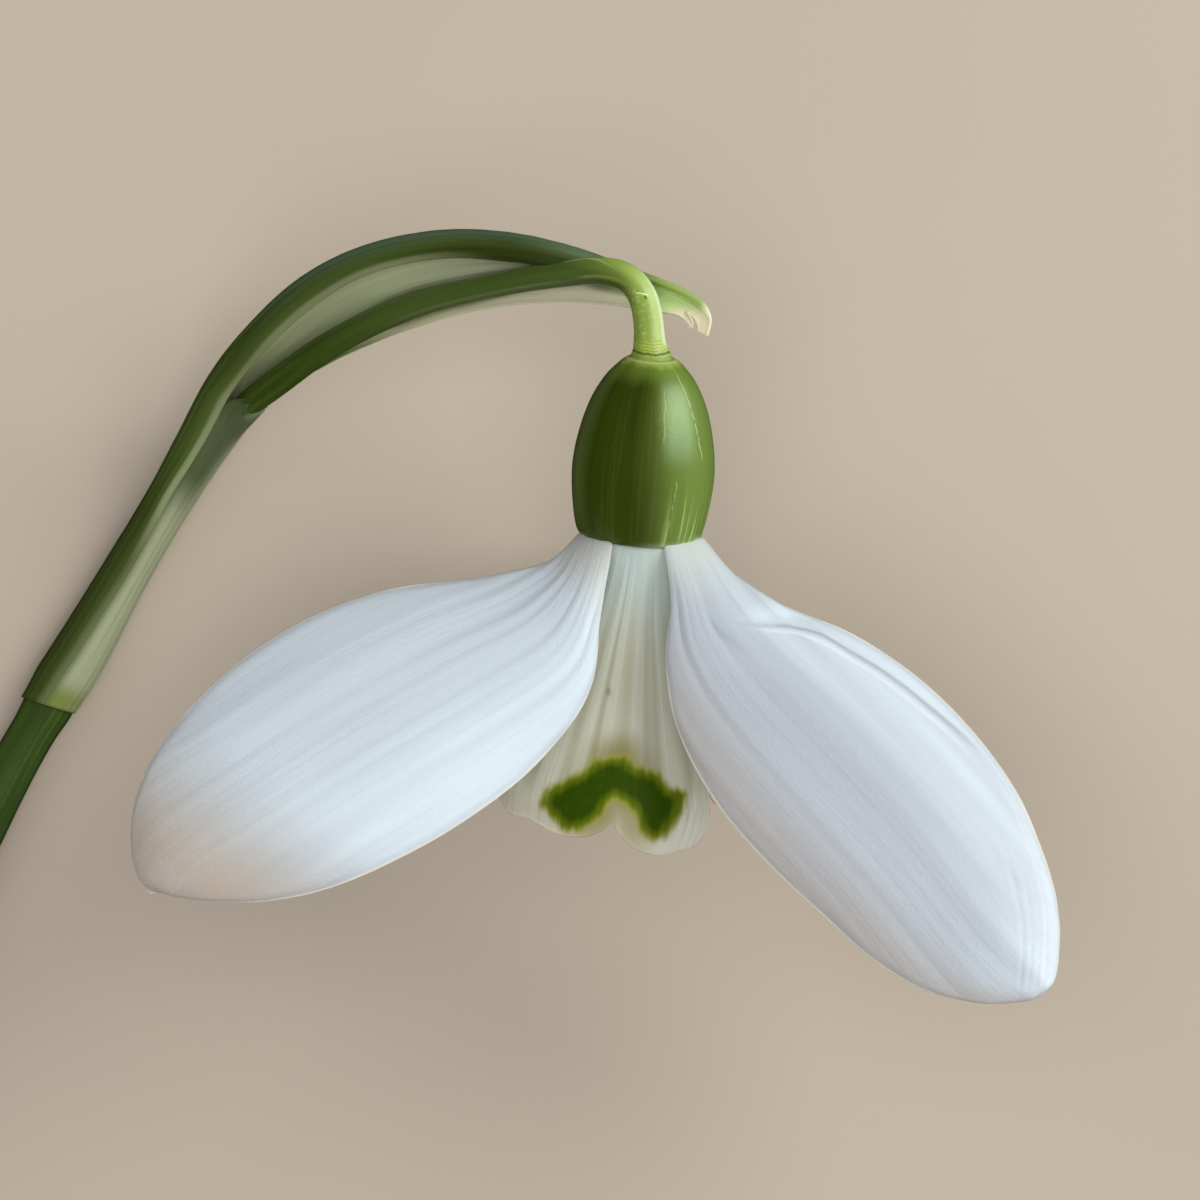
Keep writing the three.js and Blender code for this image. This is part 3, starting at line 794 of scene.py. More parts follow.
# Rows across an outer tepal: the drawing points of its two edges, with heights above the axis
LEFT_STATIONS = (
    (579, 535, 0.3, 613, 543, 2.1),
    (549, 561, 0.6, 600, 618, 3.5),
    (490, 575, 0.7, 590, 690, 3.9),
    (388, 590, 0.9, 540, 761, 4.5),
    (304, 620, 1.3, 466, 820, 5.5),
    (236, 664, 2.0, 396, 860, 6.2),
    (187, 711, 3.0, 330, 888, 6.7),
    (151, 760, 4.0, 268, 901, 6.9),
    (132, 815, 5.2, 214, 901, 6.9),
    (135, 866, 6.1, 182, 896, 6.7),
    (150, 894, 6.4, 163, 891, 6.5),
)
RIGHT_STATIONS = (
    (664, 546, 2.1, 703, 539, 0.3),
    (671, 602, 3.2, 734, 574, 0.6),
    (666, 662, 3.8, 780, 603, 0.8),
    (678, 731, 4.2, 842, 629, 1.0),
    (714, 800, 4.9, 915, 675, 1.4),
    (764, 860, 5.4, 972, 730, 2.0),
    (822, 915, 5.9, 1014, 788, 2.7),
    (880, 965, 6.2, 1042, 848, 3.6),
    (930, 992, 6.4, 1057, 900, 4.5),
    (981, 1003, 6.4, 1060, 944, 5.2),
    (1021, 1000, 6.3, 1055, 975, 5.8),
    (1037, 997, 6.2, 1045, 992, 6.1),
)
# The right tepal's crease: how far across it lies at places along the tepal
CREASE_PATH = (
    (0.18, 0.19), (0.21, 0.5), (0.236, 0.66), (0.318, 0.786), (0.4, 0.83), (0.5, 0.89), (0.573, 0.88),
    (0.65, 0.83), (0.764, 0.68), (0.86, 0.36), (0.936, -0.07),
)
# The back tepal's middle line in millimetres, and half its width at places along it
FOOT_LINE = (
    (0, 0.45, 13.4), (0, 0.6, 11.6), (-0.1, 0.95, 9.5), (-0.2, 0.95, 7), (-0.3, 0.4, 4.2),
    (-0.4, -0.9, 1.8), (-0.5, -2.9, 0.5), (-0.6, -4.6, 0.17), (-0.7, -6.9, 0.17),
    (-0.8, -9.3, 0.17), (-0.9, -11.6, 0.17),
)
FOOT_WIDTH = (
    (0, 0.95), (0.1, 1.35), (0.2, 1.9), (0.3, 2.4), (0.4, 2.9), (0.5, 3.6), (0.6, 4.55),
    (0.7, 5.1), (0.8, 5.05), (0.9, 4.2), (0.96, 3.0), (0.985, 1.9), (1, 0.6),
)
# Millimetres along the flower's axis, and the cup's radius there
CUP_RADIUS = ((-1, 2.15), (0, 2.25), (2, 2.4), (4.5, 2.9), (7, 3.65), (9, 4.35), (10.7, 4.8), (13, 5.05))
# Places across an inner tepal, and how far along the axis its rim lies there
LOBES = (
    (-1, 10.7), (-0.96, 11.2), (-0.88, 11.55), (-0.6, 11.75), (-0.3, 12.05), (-0.12, 11.95),
    (0.02, 11.55), (0.085, 11.2), (0.14, 11.55), (0.24, 12.05), (0.42, 12.4), (0.7, 12.3),
    (0.88, 12.0), (0.96, 11.5), (1, 10.8),
)
# Millimetres along the axis, and half the angle that an inner tepal takes up there
FRONT_ANGLE = (
    (-1, 0.56), (0, 0.6), (2, 0.7), (4.5, 0.84), (7, 0.95), (9, 1.0), (10.7, 1.03), (13, 0.98),
)
SIDE_ANGLE = (
    (-1, 0.4), (0, 0.44), (2, 0.6), (4.5, 0.82), (7, 0.91), (9, 0.95), (10.7, 0.96), (13, 0.88),
)
# The green mark's outline, in drawing points
MARK_OUTLINE = (
    (545, 804), (550, 792), (568, 782), (585, 774), (598, 762), (611, 759), (624, 758), (634, 770),
    (645, 772), (657, 776), (666, 790), (682, 794), (677, 812), (671, 822), (660, 834), (649, 838),
    (640, 829), (635, 811), (626, 801), (617, 796), (607, 802), (600, 814), (590, 822), (577, 828),
    (567, 828), (557, 818),
)
# The ovary's radius and height, as shares of its largest
OVARY_OUTLINE = (
    (0.02, 0.03), (0.5, 0.012), (0.75, 0.0), (0.835, 0.008), (0.876, 0.032), (0.915, 0.08),
    (0.948, 0.144), (0.986, 0.255), (1, 0.366), (0.985, 0.45), (0.953, 0.532), (0.887, 0.643),
    (0.788, 0.754), (0.63, 0.865), (0.51, 0.92), (0.4, 0.962), (0.33, 0.978), (0.27, 0.985), (0.02, 0.99),
)
# The pedicel's middle line, and how far the spathe stays off its skin
PEDICEL_LINE = (
    (165, 515, 1.6), (190, 468, 2.1), (218, 434, 2.95), (245, 407, 4.0), (277, 382, 5.4),
    (325, 348, 7.7), (374, 321.7, 9.8), (422, 302.7, 11.6), (471, 290.3, 13.2), (519, 280.3, 14.7),
    (562, 273.8, 15.9), (602, 270.5, 16.85), (628, 278, 17.3), (642, 295, 17.45), (648, 318, 17.3),
    (650, 345, 17.18), (651.5, 361, 17.1),
)
PEDICEL_CLEAR = 0.24
# Grooves of the joint below the ovary: place along the pedicel, half width, strength, and their slant
JOINT_RINGS = (
    (0.9685, 0.001, 0.35), (0.973, 0.0012, 0.5), (0.9772, 0.001, 0.45), (0.981, 0.0012, 0.55),
    (0.9855, 0.0034, 1.0),
)
RING_SLANT = 0.0042
RING_SIDE_SLANT = 0.8 * RING_SLANT
# Places along the pedicel, and its radius there
PEDICEL_RADIUS = (
    (0, 0.3), (0.04, 0.42), (0.17, 0.52), (0.26, 0.6), (0.36, 0.58), (0.5, 0.565), (0.64, 0.505),
    (0.76, 0.535), (0.86, 0.575), (0.935, 0.61), (0.965, 0.64), (0.978, 0.69), (0.9875, 0.8), (1, 0.86),
)
# The scape's middle line, and its radius at places along it
SCAPE_LINE = (
    (-269.6, 1329.4, 1.18), (-191, 1170, 1.12), (-103, 1000, 1.06), (-25, 843, 0.99), (17, 760, 0.96),
    (52, 699, 0.96), (73, 661, 0.97),
)
SCAPE_RADIUS = (
    (0, 1.28), (0.5, 1.12), (0.85, 1.0), (0.9, 1.0), (0.935, 1.07), (0.95, 1.04), (0.968, 0.8),
    (1, 0.7),
)
# Rows across the spathe: the drawing points of its upper and lower edge, with their heights
SPATHE_STATIONS = (
    (22, 697, 0.98, 75, 713.5, 0.98),
    (53, 651.5, 1.0, 98.5, 675, 1.0),
    (110.5, 560.5, 1.08, 147, 581.5, 1.08),
    (154, 488.5, 1.85, 189.5, 509.5, 1.6),
    (181, 437.5, 2.95, 231.5, 448, 2.25),
    (210, 382, 4.4, 270, 401, 3.3),
    (245, 335, 6.7, 324, 365, 5.9),
    (300, 283, 9.2, 372, 343, 8.3),
    (361, 251, 11.4, 410, 329, 10.5),
    (440, 234.5, 13.5, 471, 312, 12.8),
    (510, 237, 15.0, 525, 304, 14.3),
    (576, 252, 16.1, 580, 303, 15.5),
    (630, 272, 16.4, 632, 307, 16.1),
    (674, 289, 16.5, 664, 312, 16.2),
    (700, 304, 16.45, 679, 315, 16.2),
    (710, 318, 16.35, 686, 321, 16.1),
    (707, 336, 16.2, 690, 327, 16.0),
)
# How deep the spathe is behind its edges and in front of them, at places along it
SPATHE_BACK = (
    (0, 0.97), (0.12, 1.0), (0.2, 1.1), (0.3, 1.0), (0.42, 0.7), (0.6, 0.6), (0.72, 0.5), (0.85, 0.3),
    (1, 0.05),
)
SPATHE_FRONT = (
    (0, 1.13), (0.06, 1.12), (0.12, 1.1), (0.2, 1.2), (0.26, 1.3), (0.31, 1.4), (0.36, 1.0),
    (0.42, 0.6), (0.5, 0.42), (0.7, 0.38), (0.85, 0.3), (1, 0.1),
)
# Where the two lips of the spathe lie, in degrees round it: 0 in front, 90 at the upper keel
UPPER_LIP = (
    (0, 9), (0.03, 8), (0.08, 3), (0.125, -6), (0.155, -4), (0.1875, 2), (0.23, 1), (0.27, 4),
    (0.31, 10), (0.375, 19), (0.44, 24), (0.5, 27), (0.56, 23), (0.625, 13), (0.68, 10),
    (0.72, 30), (0.76, 60), (0.8, 72), (0.9, 86), (1, 88),
)
LOWER_LIP = (
    (0, 373), (0.03, 372), (0.08, 367), (0.125, 358), (0.155, 360), (0.1875, 364), (0.24, 366),
    (0.27, 368), (0.29, 366), (0.3, 361), (0.306, 340), (0.312, 308), (0.32, 288), (0.385, 279),
    (0.45, 272), (1, 270),
)
# How far round the spathe its upper keel reaches, in degrees, at places along it
KEEL_REACH = ((0, 150), (0.2, 128), (0.3, 112), (0.4, 105), (0.7, 102), (1, 98))
# Pale lines on the ovary: their turn at each end, where they begin and end, half width, strength
HAIRLINES = (
    (0.345, 0.38, 0.46, 0.96, 0.0028, 0.9),
    (0.434, 0.42, 0.0, 0.42, 0.0022, 0.45),
    (0.458, 0.449, 0.55, 0.88, 0.003, 0.35),
)
# Radius and height of the disc, a filament, an anther and the style, in millimetres
DISC_OUTLINE = ((0.02, 0), (0.8, 0.0), (1.35, 0.05), (1.5, 0.25), (1.35, 0.5), (0.7, 0.56), (0.02, 0.5))
FILAMENT_OUTLINE = ((0.02, -0.1), (0.22, 0.0), (0.15, 0.7), (0.13, 1.4), (0.02, 1.5))
ANTHER_OUTLINE = (
    (0.02, 1.2), (0.25, 1.25), (0.42, 1.7), (0.43, 3.2), (0.33, 5.0), (0.16, 6.4), (0.05, 6.9),
    (0.01, 6.92),
)
STYLE_OUTLINE = ((0.02, 0), (0.3, 0.02), (0.3, 4.4), (0.24, 7.0), (0.17, 8.4), (0.1, 8.75), (0.01, 8.8))


def across_blade(columns):
    """Places across a blade from edge to edge, closer together towards the edges."""
    t = np.linspace(-1, 1, columns)[None, :]
    return 0.4 * t + 0.6 * np.sin(0.5 * np.pi * t)


def edges(stations, base):
    """The two edge lines of a sheet, from rows across it with heights above a base."""
    return [smooth_line([place(s[k], s[k + 1], base + s[k + 2]) for s in stations]) for k in (0, 3)]


def between(stations, rows, columns):
    """A sheet between two edges that swells up in the middle."""
    first, second = edges(stations, AXIS_HEIGHT)
    u = across_blade(columns)
    v = np.linspace(0, 1, rows)[:, None]
    share = ((u + 1) / 2)[..., None]
    points = read_line(first, v[:, 0])[:, None] * (1 - share) + read_line(second, v[:, 0])[:, None] * share
    points[..., 2] += (0.25 * (1 - v) + TEPAL_SWELL * np.sin(np.pi * v**0.8)) * (1 - np.abs(u) ** 2.2)
    return points, u, v


def half_widths(points):
    """Half the distance between the two edges of a sheet, row by row."""
    return np.linalg.norm(points[:, -1] - points[:, 0], axis=1)[:, None] / 2


def lane_of(points, u, v):
    """How far across its tepal each point lies: fanned out at the claw, side by side further on."""
    half = half_widths(points)
    fan = 0.04 + 0.36 * (1 - soft_step(v, 0.3, 0.7))
    return u * (fan + (1 - fan) * half / half.max())


def tepal_ridges(lane, v, turn):
    """Soft lengthwise pleats of an outer tepal, strongest beyond its claw."""
    pleats = (
        0.5 * np.sin(15.0 * lane + 0.8 + turn + 0.7 * v)
        + 0.35 * np.sin(29.0 * lane + 2.1 * turn - 0.5 * v)
        + 0.25 * np.sin(47.0 * lane + 4.0 + turn)
    )
    return pleats * window(v, 0.02, 0.14, 0.7, 0.92) * (1 - 0.55 * soft_step(v, 0.16, 0.42))


def sheet_values(points, u, v, lit, warm, crease=0.0):
    """The numbers that the outer tepals' material reads at each point."""
    half = half_widths(points)
    length = np.linalg.norm(np.diff(points[:, points.shape[1] // 2], axis=0), axis=1).sum()
    whole = np.zeros(points.shape[:2])
    return (
        ("lane", lane_of(points, u, v)),
        ("rim", np.minimum((1 - np.abs(u)) * half, (1 - v) * length * 0.5)),
        ("lit", whole + lit),
        ("warm", whole + warm),
        ("crease", whole + crease),
    )


def rim_bead(points, u):
    """A fine raised lip along both edges."""
    return 0.05 * hump((1 - np.abs(u)) * half_widths(points), 0.14)


def left_sheet(rows, columns):
    points, u, v = between(LEFT_STATIONS, rows, columns)
    # Painted light and shade across the left tepal
    lit = 0.68 + 0.16 * soft_step(u, -0.4, 0.6) * (1 - soft_step(v, 0.45, 0.75))
    lit = lit - 0.2 * soft_step(v, 0.5, 0.9) - 0.28 * soft_step(u, 0.25, 0.8) * soft_step(v, 0.42, 0.65)
    warm = soft_step(v + 0.05 * u, 0.53, 0.82) + 0.35 * (1 - soft_step(v, 0.02, 0.14))
    values = sheet_values(points, u, v, lit, warm)
    lift = 0.055 * tepal_ridges(lane_of(points, u, v), v, 0.0) + rim_bead(points, u)
    return points + normals_of(points) * lift[..., None], values


def right_sheet(rows, columns):
    """The right tepal, with a crease along its upper edge, a fold by its claw and wrinkles near its tip."""
    points, u, v = between(RIGHT_STATIONS, rows, columns)
    half = half_widths(points)
    beyond = (u - profile(CREASE_PATH)(v)) * half
    begun = window(v, 0.16, 0.24, 0.88, 0.96)
    near_claw = begun * (1 - soft_step(v, 0.42, 0.54))
    near_tip = begun * soft_step(v, 0.44, 0.58)
    fold = hump((u + 0.16 - 2.57 * (v - 0.132)) * half, 0.1) * window(v, 0.11, 0.15, 0.2, 0.26)
    # Painted shade along the crease and the claw's fold, and painted highlights on the ridge inside the
    # crease and on the margin beyond it
    dark = 0.9 * hump(beyond, 0.09) * near_claw + 0.5 * fold
    crease_highlight = 0.6 * hump(beyond + 0.22, 0.12) * near_claw
    crease_highlight = crease_highlight + (0.4 * hump(beyond, 0.09) + 0.35 * soft_step(beyond, 0.1, 0.5)) * near_tip
    # Painted light and shade across the right tepal: lighter towards its upper edge, beyond the crease and
    # near its tip
    lit = 0.22 + 0.34 * soft_step(u, 0.0, 0.55) + 0.5 * soft_step(beyond, 0.0, 0.3) * begun
    lit = lit + 0.25 * soft_step(v, 0.6, 0.95)
    warm = 0.5 * soft_step(-u, 0.3, 0.95) * soft_step(v, 0.1, 0.3)
    values = sheet_values(points, u, v, lit, warm, crease_highlight - dark)
    wrinkles = np.sin(13 * beyond + 5 * v) * hump(beyond + 0.9, 0.5) * window(v, 0.5, 0.62, 0.8, 0.92)
    points[..., 2] -= 0.45 * begun * soft_step(beyond, -0.15, 1.1)
    lift = 0.06 * tepal_ridges(lane_of(points, u, v), v, 1.7) + rim_bead(points, u)
    lift = lift - 0.1 * hump(beyond, 0.13) * (begun - 0.6 * near_tip) - 0.09 * fold + 0.035 * wrinkles
    return points + normals_of(points) * lift[..., None], values


def foot_sheet(rows, columns):
    """The back tepal: it leaves the ovary downward, bends and lies on the floor."""
    line = smooth_line(FOOT_LINE)
    u = across_blade(columns)
    v = np.linspace(0, 1, rows)[:, None]
    centre = read_line(line, v[:, 0])
    way = np.gradient(centre, axis=0)
    inward = np.stack([0 * way[:, 0], way[:, 2], -way[:, 1]], -1)
    inward /= np.linalg.norm(inward, axis=1, keepdims=True)
    reach = profile(FOOT_WIDTH)(v) * u
    curl = np.clip(np.abs(u) - 0.5, 0, 1) / 0.5
    bent = 0.25 * (1 - v) * u**2 + 1.1 * np.sin(np.pi * v**0.9) * curl**1.8
    points = centre[:, None] + inward[:, None] * bent[..., None]
    points[..., 0] += reach
    values = sheet_values(points, u, v, 0.7, 0.3 * soft_step(v, 0.7, 1.0))
    lift = 0.05 * tepal_ridges(lane_of(points, u, v), v, 3.1) * (1 - soft_step(v, 0.5, 0.6))
    return points + normals_of(points) * lift[..., None], values


def outer_tepals(look):
    paint = outer_paint(look)
    rows, columns = 2 * look.detail + 1, look.detail + 1
    for side, sheet in (("left", left_sheet), ("right", right_sheet), ("back", foot_sheet)):
        points, values = sheet(rows, columns)
        piece = blade(f"outer_tepal_{side}_petal", points, look.tepal_thick, 0.4, values)
        dress(piece, "outer_tepal", paint)
        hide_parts(f"outer_tepal_{side}")


def cup_frame():
    """The foot of the cup, the way that it opens, its front and its right."""
    axis = unit(CUP_TILT)
    front = unit(np.array((0, 0, 1.0)) - axis * axis[2])
    return place(*CUP_BASE, AXIS_HEIGHT), axis, front, np.cross(front, axis)


def inner_points(facing, angles, size, rows, columns, ripple):
    """An inner tepal of the cup, and the ribs on it."""
    start, axis, front, right = cup_frame()
    u = np.linspace(-1, 1, columns)[None, :]
    v = np.linspace(0, 1, rows)[:, None]
    long = profile(LOBES)(u) * size
    along = -0.05 + (long + 0.05) * v
    turn = facing + u * profile(angles)(along)
    radius = profile(CUP_RADIUS)(along) * size
    rib = 0.7 * np.cos(np.pi * (7.2 * u + 0.4 * np.sin(5 * u + 1.0))) + 0.3 * np.cos(39 * u + 2.0 + 2 * v)
    radius = radius + 0.02 * rib * window(v, 0.0, 0.15, 0.72, 0.98) * (1 - np.abs(u) ** 6)
    radius = radius + ripple * soft_step(v, 0.75, 1.0) * np.sin(4.4 * u + 0.9)
    crumple = hump(u - 0.74, 0.14) * hump(v - 0.9, 0.07)
    radius = radius + 0.03 * crumple * np.sin(70 * u + 40 * v)
    points = (
        start
        + axis * along[..., None]
        + right * (radius * CUP_WIDE * np.sin(turn))[..., None]
        + front * (radius * CUP_DEEP * np.cos(turn))[..., None]
    )
    return points, 0.5 + 0.5 * rib * (1 - soft_step(v, 0.8, 1.0))


def mark_depth(points):
    """How far inside the outline of the green mark each point lies, in millimetres."""
    gx, gy = on_drawing(points)
    near = np.full(gx.shape, 1e9)
    inside = np.zeros(gx.shape, bool)
    for (ax, ay), (bx, by) in zip(MARK_OUTLINE, MARK_OUTLINE[1:] + MARK_OUTLINE[:1]):
        dx, dy = bx - ax, by - ay
        t = np.clip(((gx - ax) * dx + (gy - ay) * dy) / (dx * dx + dy * dy), 0, 1)
        near = np.minimum(near, np.hypot(gx - ax - dx * t, gy - ay - dy * t))
        crosses = (ay > gy) != (by > gy)
        inside ^= crosses & (gx < ax + dx * (gy - ay) / (dy if dy else 1e-9))
    return np.where(inside, near, -near) / GRID


def inner_tepals(look):
    paint = inner_paint(look)
    rows, columns = look.detail + 41, look.detail + 33
    front, rib = inner_points(-0.02, FRONT_ANGLE, 1.0, rows, columns, 0.09)
    left, _ = inner_points(-THIRD + 0.02, SIDE_ANGLE, SIDE_TEPAL_SIZE, rows, columns, 0.07)
    right, _ = inner_points(THIRD + 0.02, SIDE_ANGLE, SIDE_TEPAL_SIZE, rows, columns, 0.07)
    gx, gy = on_drawing(front)
    spot = hump(gx - SPOT_PLACE[0], SPOT_SIZE[0]) * hump(gy - SPOT_PLACE[1], SPOT_SIZE[1])
    mark = mark_depth(front)
    for points, spotted, node in (
        (front, spot, "inner_tepal_front"),
        (left, 0 * spot, "inner_tepal_left"),
        (right, 0 * spot, "inner_tepal_right"),
    ):
        values = (("mark", mark), ("rib", rib), ("spot", spotted))
        piece = blade(node + "_petal", points, look.tepal_thick, 0.45, values)
        dress(piece, "inner_tepal", paint)
        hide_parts(node)


def ovary(look):
    base, axis = place(*OVARY_BASE, AXIS_HEIGHT), unit(OVARY_TILT)
    outline = evenly(smooth_line(OVARY_OUTLINE, 400), 161)
    radii, heights = outline[:, 0] * OVARY_RADIUS, outline[:, 1] * OVARY_LENGTH
    side = unit(np.cross(axis, (0, 0, 1)))
    front = np.cross(side, axis)
    turn = np.linspace(0, 2 * np.pi, 129)
    share = heights / OVARY_LENGTH
    ribs = 0.022 * np.cos(18 * turn + 0.8 * np.sin(2 * turn))[None, :]
    low = (1 - soft_step(share, 0.02, 0.35))[:, None] * (radii > 2)[:, None]
    r = radii[:, None] * (1 + 0.005 * np.sin(3 * turn + 0.6)[None, :]) + 0.8 * ribs * low
    points = (
        base
        + axis * heights[:, None, None]
        - front * (r * np.cos(turn))[..., None]
        + side * (r * np.sin(turn))[..., None]
    )
    piece = tube("ovary_body", points, (("rise", share[:, None] + 0 * turn),))
    dress(piece, "ovary", ovary_paint(look))
    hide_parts("ovary")


def pedicel(look):
    line = evenly(smooth_line([place(*p) for p in PEDICEL_LINE]))
    width = profile(PEDICEL_RADIUS)

    def radius(v, turn):
        slanted = v - RING_SLANT * np.cos(turn) + RING_SIDE_SLANT * np.sin(turn)
        rings = sum(3 * w * s * hump(slanted - at, w) for at, w, s in JOINT_RINGS)
        grooves = 0.012 * np.cos(7 * turn + 9 * v)
        return width(v) - 2.5 * rings + grooves

    piece = tube("pedicel_stalk", tube_points(line, radius, 48, 720))
    dress(piece, "pedicel", pedicel_paint(look))
    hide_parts("pedicel")


def scape(look):
    line = evenly(smooth_line([place(*p) for p in SCAPE_LINE]))
    width = profile(SCAPE_RADIUS)

    def radius(v, turn):
        return width(v) + 0.014 * np.cos(9 * turn + 3 * v) + 0.01 * np.sin(26 * v + turn)

    piece = tube("scape_stalk", tube_points(line, radius, 56, 180))
    dress(piece, "scape", scape_paint(look), cut_paint())
    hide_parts("scape")
    end = min(face.center.y for face in piece.data.polygons)
    choose_faces(piece, lambda face: face.center.y < end + 1e-7 and len(face.vertices) > 4)
    bpy.ops.mesh.inset(thickness=0.06 * MM, depth=0.0)
    piece.active_material_index = 1
    bpy.ops.object.material_slot_assign()
    bpy.ops.mesh.inset(thickness=0.5 * MM, depth=-0.05 * MM)
    bpy.ops.mesh.inset(thickness=0.3 * MM, depth=-0.12 * MM)
    bpy.ops.object.mode_set(mode="OBJECT")
    smooth(piece, 35)


def round_pedicel(points, clear, share):
    """Moves a sheet's points off the pedicel, to a clear distance from its skin."""
    line = evenly(smooth_line([place(*p) for p in PEDICEL_LINE]), 160)
    radius = profile(PEDICEL_RADIUS)(np.linspace(0, 1, len(line)))
    away = points[:, :, None] - line
    distance = np.linalg.norm(away, axis=-1)
    nearest = distance.argmin(-1)[..., None]
    distance = np.take_along_axis(distance, nearest, -1)
    away = np.take_along_axis(away, nearest[..., None], 2)[:, :, 0]
    short = radius[nearest] + clear[..., None] - distance
    push = 0.5 * (short + np.sqrt(short**2 + 0.01))
    return points + away / np.maximum(distance, 1e-3) * push * share[..., None]


def spathe(look):
    rows, columns = 3 * look.detail + 1, look.detail + 25
    first, second = edges(SPATHE_STATIONS, 0)
    u = np.linspace(-1, 1, columns)[None, :]
    v = np.linspace(0, 1, rows)[:, None]
    share = (u + 1) / 2
    upper, lower = profile(UPPER_LIP)(v), profile(LOWER_LIP)(v)
    angle = upper + (lower - upper) * share
    fork = 0.1 * hump(u - 0.24, 0.12) * soft_step(v, 0.86, 1.0)
    reach = v - fork
    psi = np.radians(angle)
    top, bottom = read_line(first, reach), read_line(second, reach)
    middle, half = (top + bottom) / 2, (top - bottom) / 2
    back, front = profile(SPATHE_BACK)(v), profile(SPATHE_FRONT)(v)
    depth = np.where(np.cos(psi) > 0, front, back)
    overlap = 1 + 0.02 * soft_step(-u, 0.6, 1.0) * (1 - soft_step(v, 0.2, 0.3))
    points = middle + half * (np.sin(psi) * overlap)[..., None]
    points[..., 2] += depth * np.cos(psi) * overlap
    tip = soft_step(v, 0.71, 0.8)
    below = soft_step(angle, 190, 215) * soft_step(v, 0.4, 0.5)
    vein = 0.016 * np.cos(angle * 0.35) * (1 - np.abs(u) ** 6) * (1 - 0.8 * np.maximum(tip, below))
    points += normals_of(points) * vein[..., None]
    held = window(v, 0.16, 0.26, 0.6, 0.66) + 0 * u
    tight = soft_step(u, 0.45, 0.95) * (1 - soft_step(v, 0.38, 0.44))
    points = round_pedicel(points, PEDICEL_CLEAR - 0.17 * tight, held)
    inner = profile(KEEL_REACH)(v)
    end = soft_step(v + 0.085 * soft_step(angle, 120, 250), 0.87, 0.94)
    closed = 1 - soft_step(v, 0.19, 0.23)
    seam = 0.55 * soft_step(u, 0.86, 1.0) * closed
    keel = np.maximum(1 - soft_step(angle, inner - 10, inner + 10), seam) * (1 - 0.9 * end)
    veiled = soft_step(v, 0.165, 0.22) * soft_step(angle, 268, 325)
    mouth = soft_step(u, 0.7, 1.0) * window(v, 0.27, 0.315, 0.36, 0.42)
    open_lip = soft_step(-u, 0.88, 0.95) * window(v, 0.1, 0.2, 0.5, 0.62)
    lip = np.maximum(open_lip, 0.4 * soft_step(-u, 0.88, 1.0) * closed)
    foot = (1 - soft_step(v, 0.012, 0.05)) * soft_step(angle, 200, 345)
    pale = np.clip(end + 0.66 * below * (1 - soft_step(v, 0.72, 0.8)), 0, 1)
    fold = window(v, 0.685, 0.715, 0.71, 0.8) * (1 - soft_step(angle, 195, 225))
    shaded = fold + 0.45 * (1 - soft_step(v, 0.2, 0.3))
    # Where the painted bluish sky reflection lies on the keel
    sky = window(angle, 50, 80, 92, 120) * soft_step(v, 0.35, 0.5)
    deep = window(v, 0.5, 0.58, 0.7, 0.75) * (1 - soft_step(angle, 36, 60))
    values = (
        ("keel", keel), ("pale", pale), ("veiled", veiled), ("foot", foot), ("deep", deep),
        ("blue", sky * (1 - tip)), ("tip", tip + 0 * u), ("shaded", shaded), ("lip", lip),
        ("mouth", mouth), ("calm", 1 - np.clip(1.25 * np.maximum(0.7 * tip, pale), 0, 1)),
    )
    base = 0.2 + 0.8 * soft_step(v, 0.0, 0.05)
    lips = 1 - 0.65 * soft_step(np.abs(u), 0.9, 1.0)
    thickness = np.clip(0.3 + 0.7 * keel, 0, 1) * base * lips
    piece = blade("spathe_leaf", points, SPATHE_THICK, thickness, values)
    dress(piece, "spathe", spathe_paint(look))
    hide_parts("spathe")


def round_shape(outline, sides, rows):
    """A small round shape that stands on the origin along +Z, from (radius, height) pairs."""
    line = evenly(smooth_line(outline, 200), rows + 1)
    turn = np.linspace(0, 2 * np.pi, sides + 1)
    radius, height = line[:, :1], line[:, 1:]
    return np.stack([radius * np.cos(turn), radius * np.sin(turn), height + 0 * turn], -1)


def along_cup(points, distance, ring=0.0, turn=0.0):
    """Stands a round shape on the flower's axis, or on a ring round it."""
    start, axis, front, right = cup_frame()
    out = front * math.cos(turn) + right * math.sin(turn)
    foot = start + axis * distance + out * ring
    return foot + points[..., :1] * out + points[..., 1:2] * np.cross(axis, out) + points[..., 2:] * axis


def turned_copy(piece, name, turn):
    """A copy of a piece with its own mesh, turned round the flower's axis."""
    start, axis, _, _ = cup_frame()
    middle = Matrix.Translation((start + FLOWER_PLACE) * MM)
    twin = piece.copy()
    twin.data = piece.data.copy()
    twin.name = twin.data.name = name
    twin.data.transform(middle @ Matrix.Rotation(-turn, 4, Vector(axis)) @ middle.inverted())
    bpy.context.collection.objects.link(twin)
    return twin


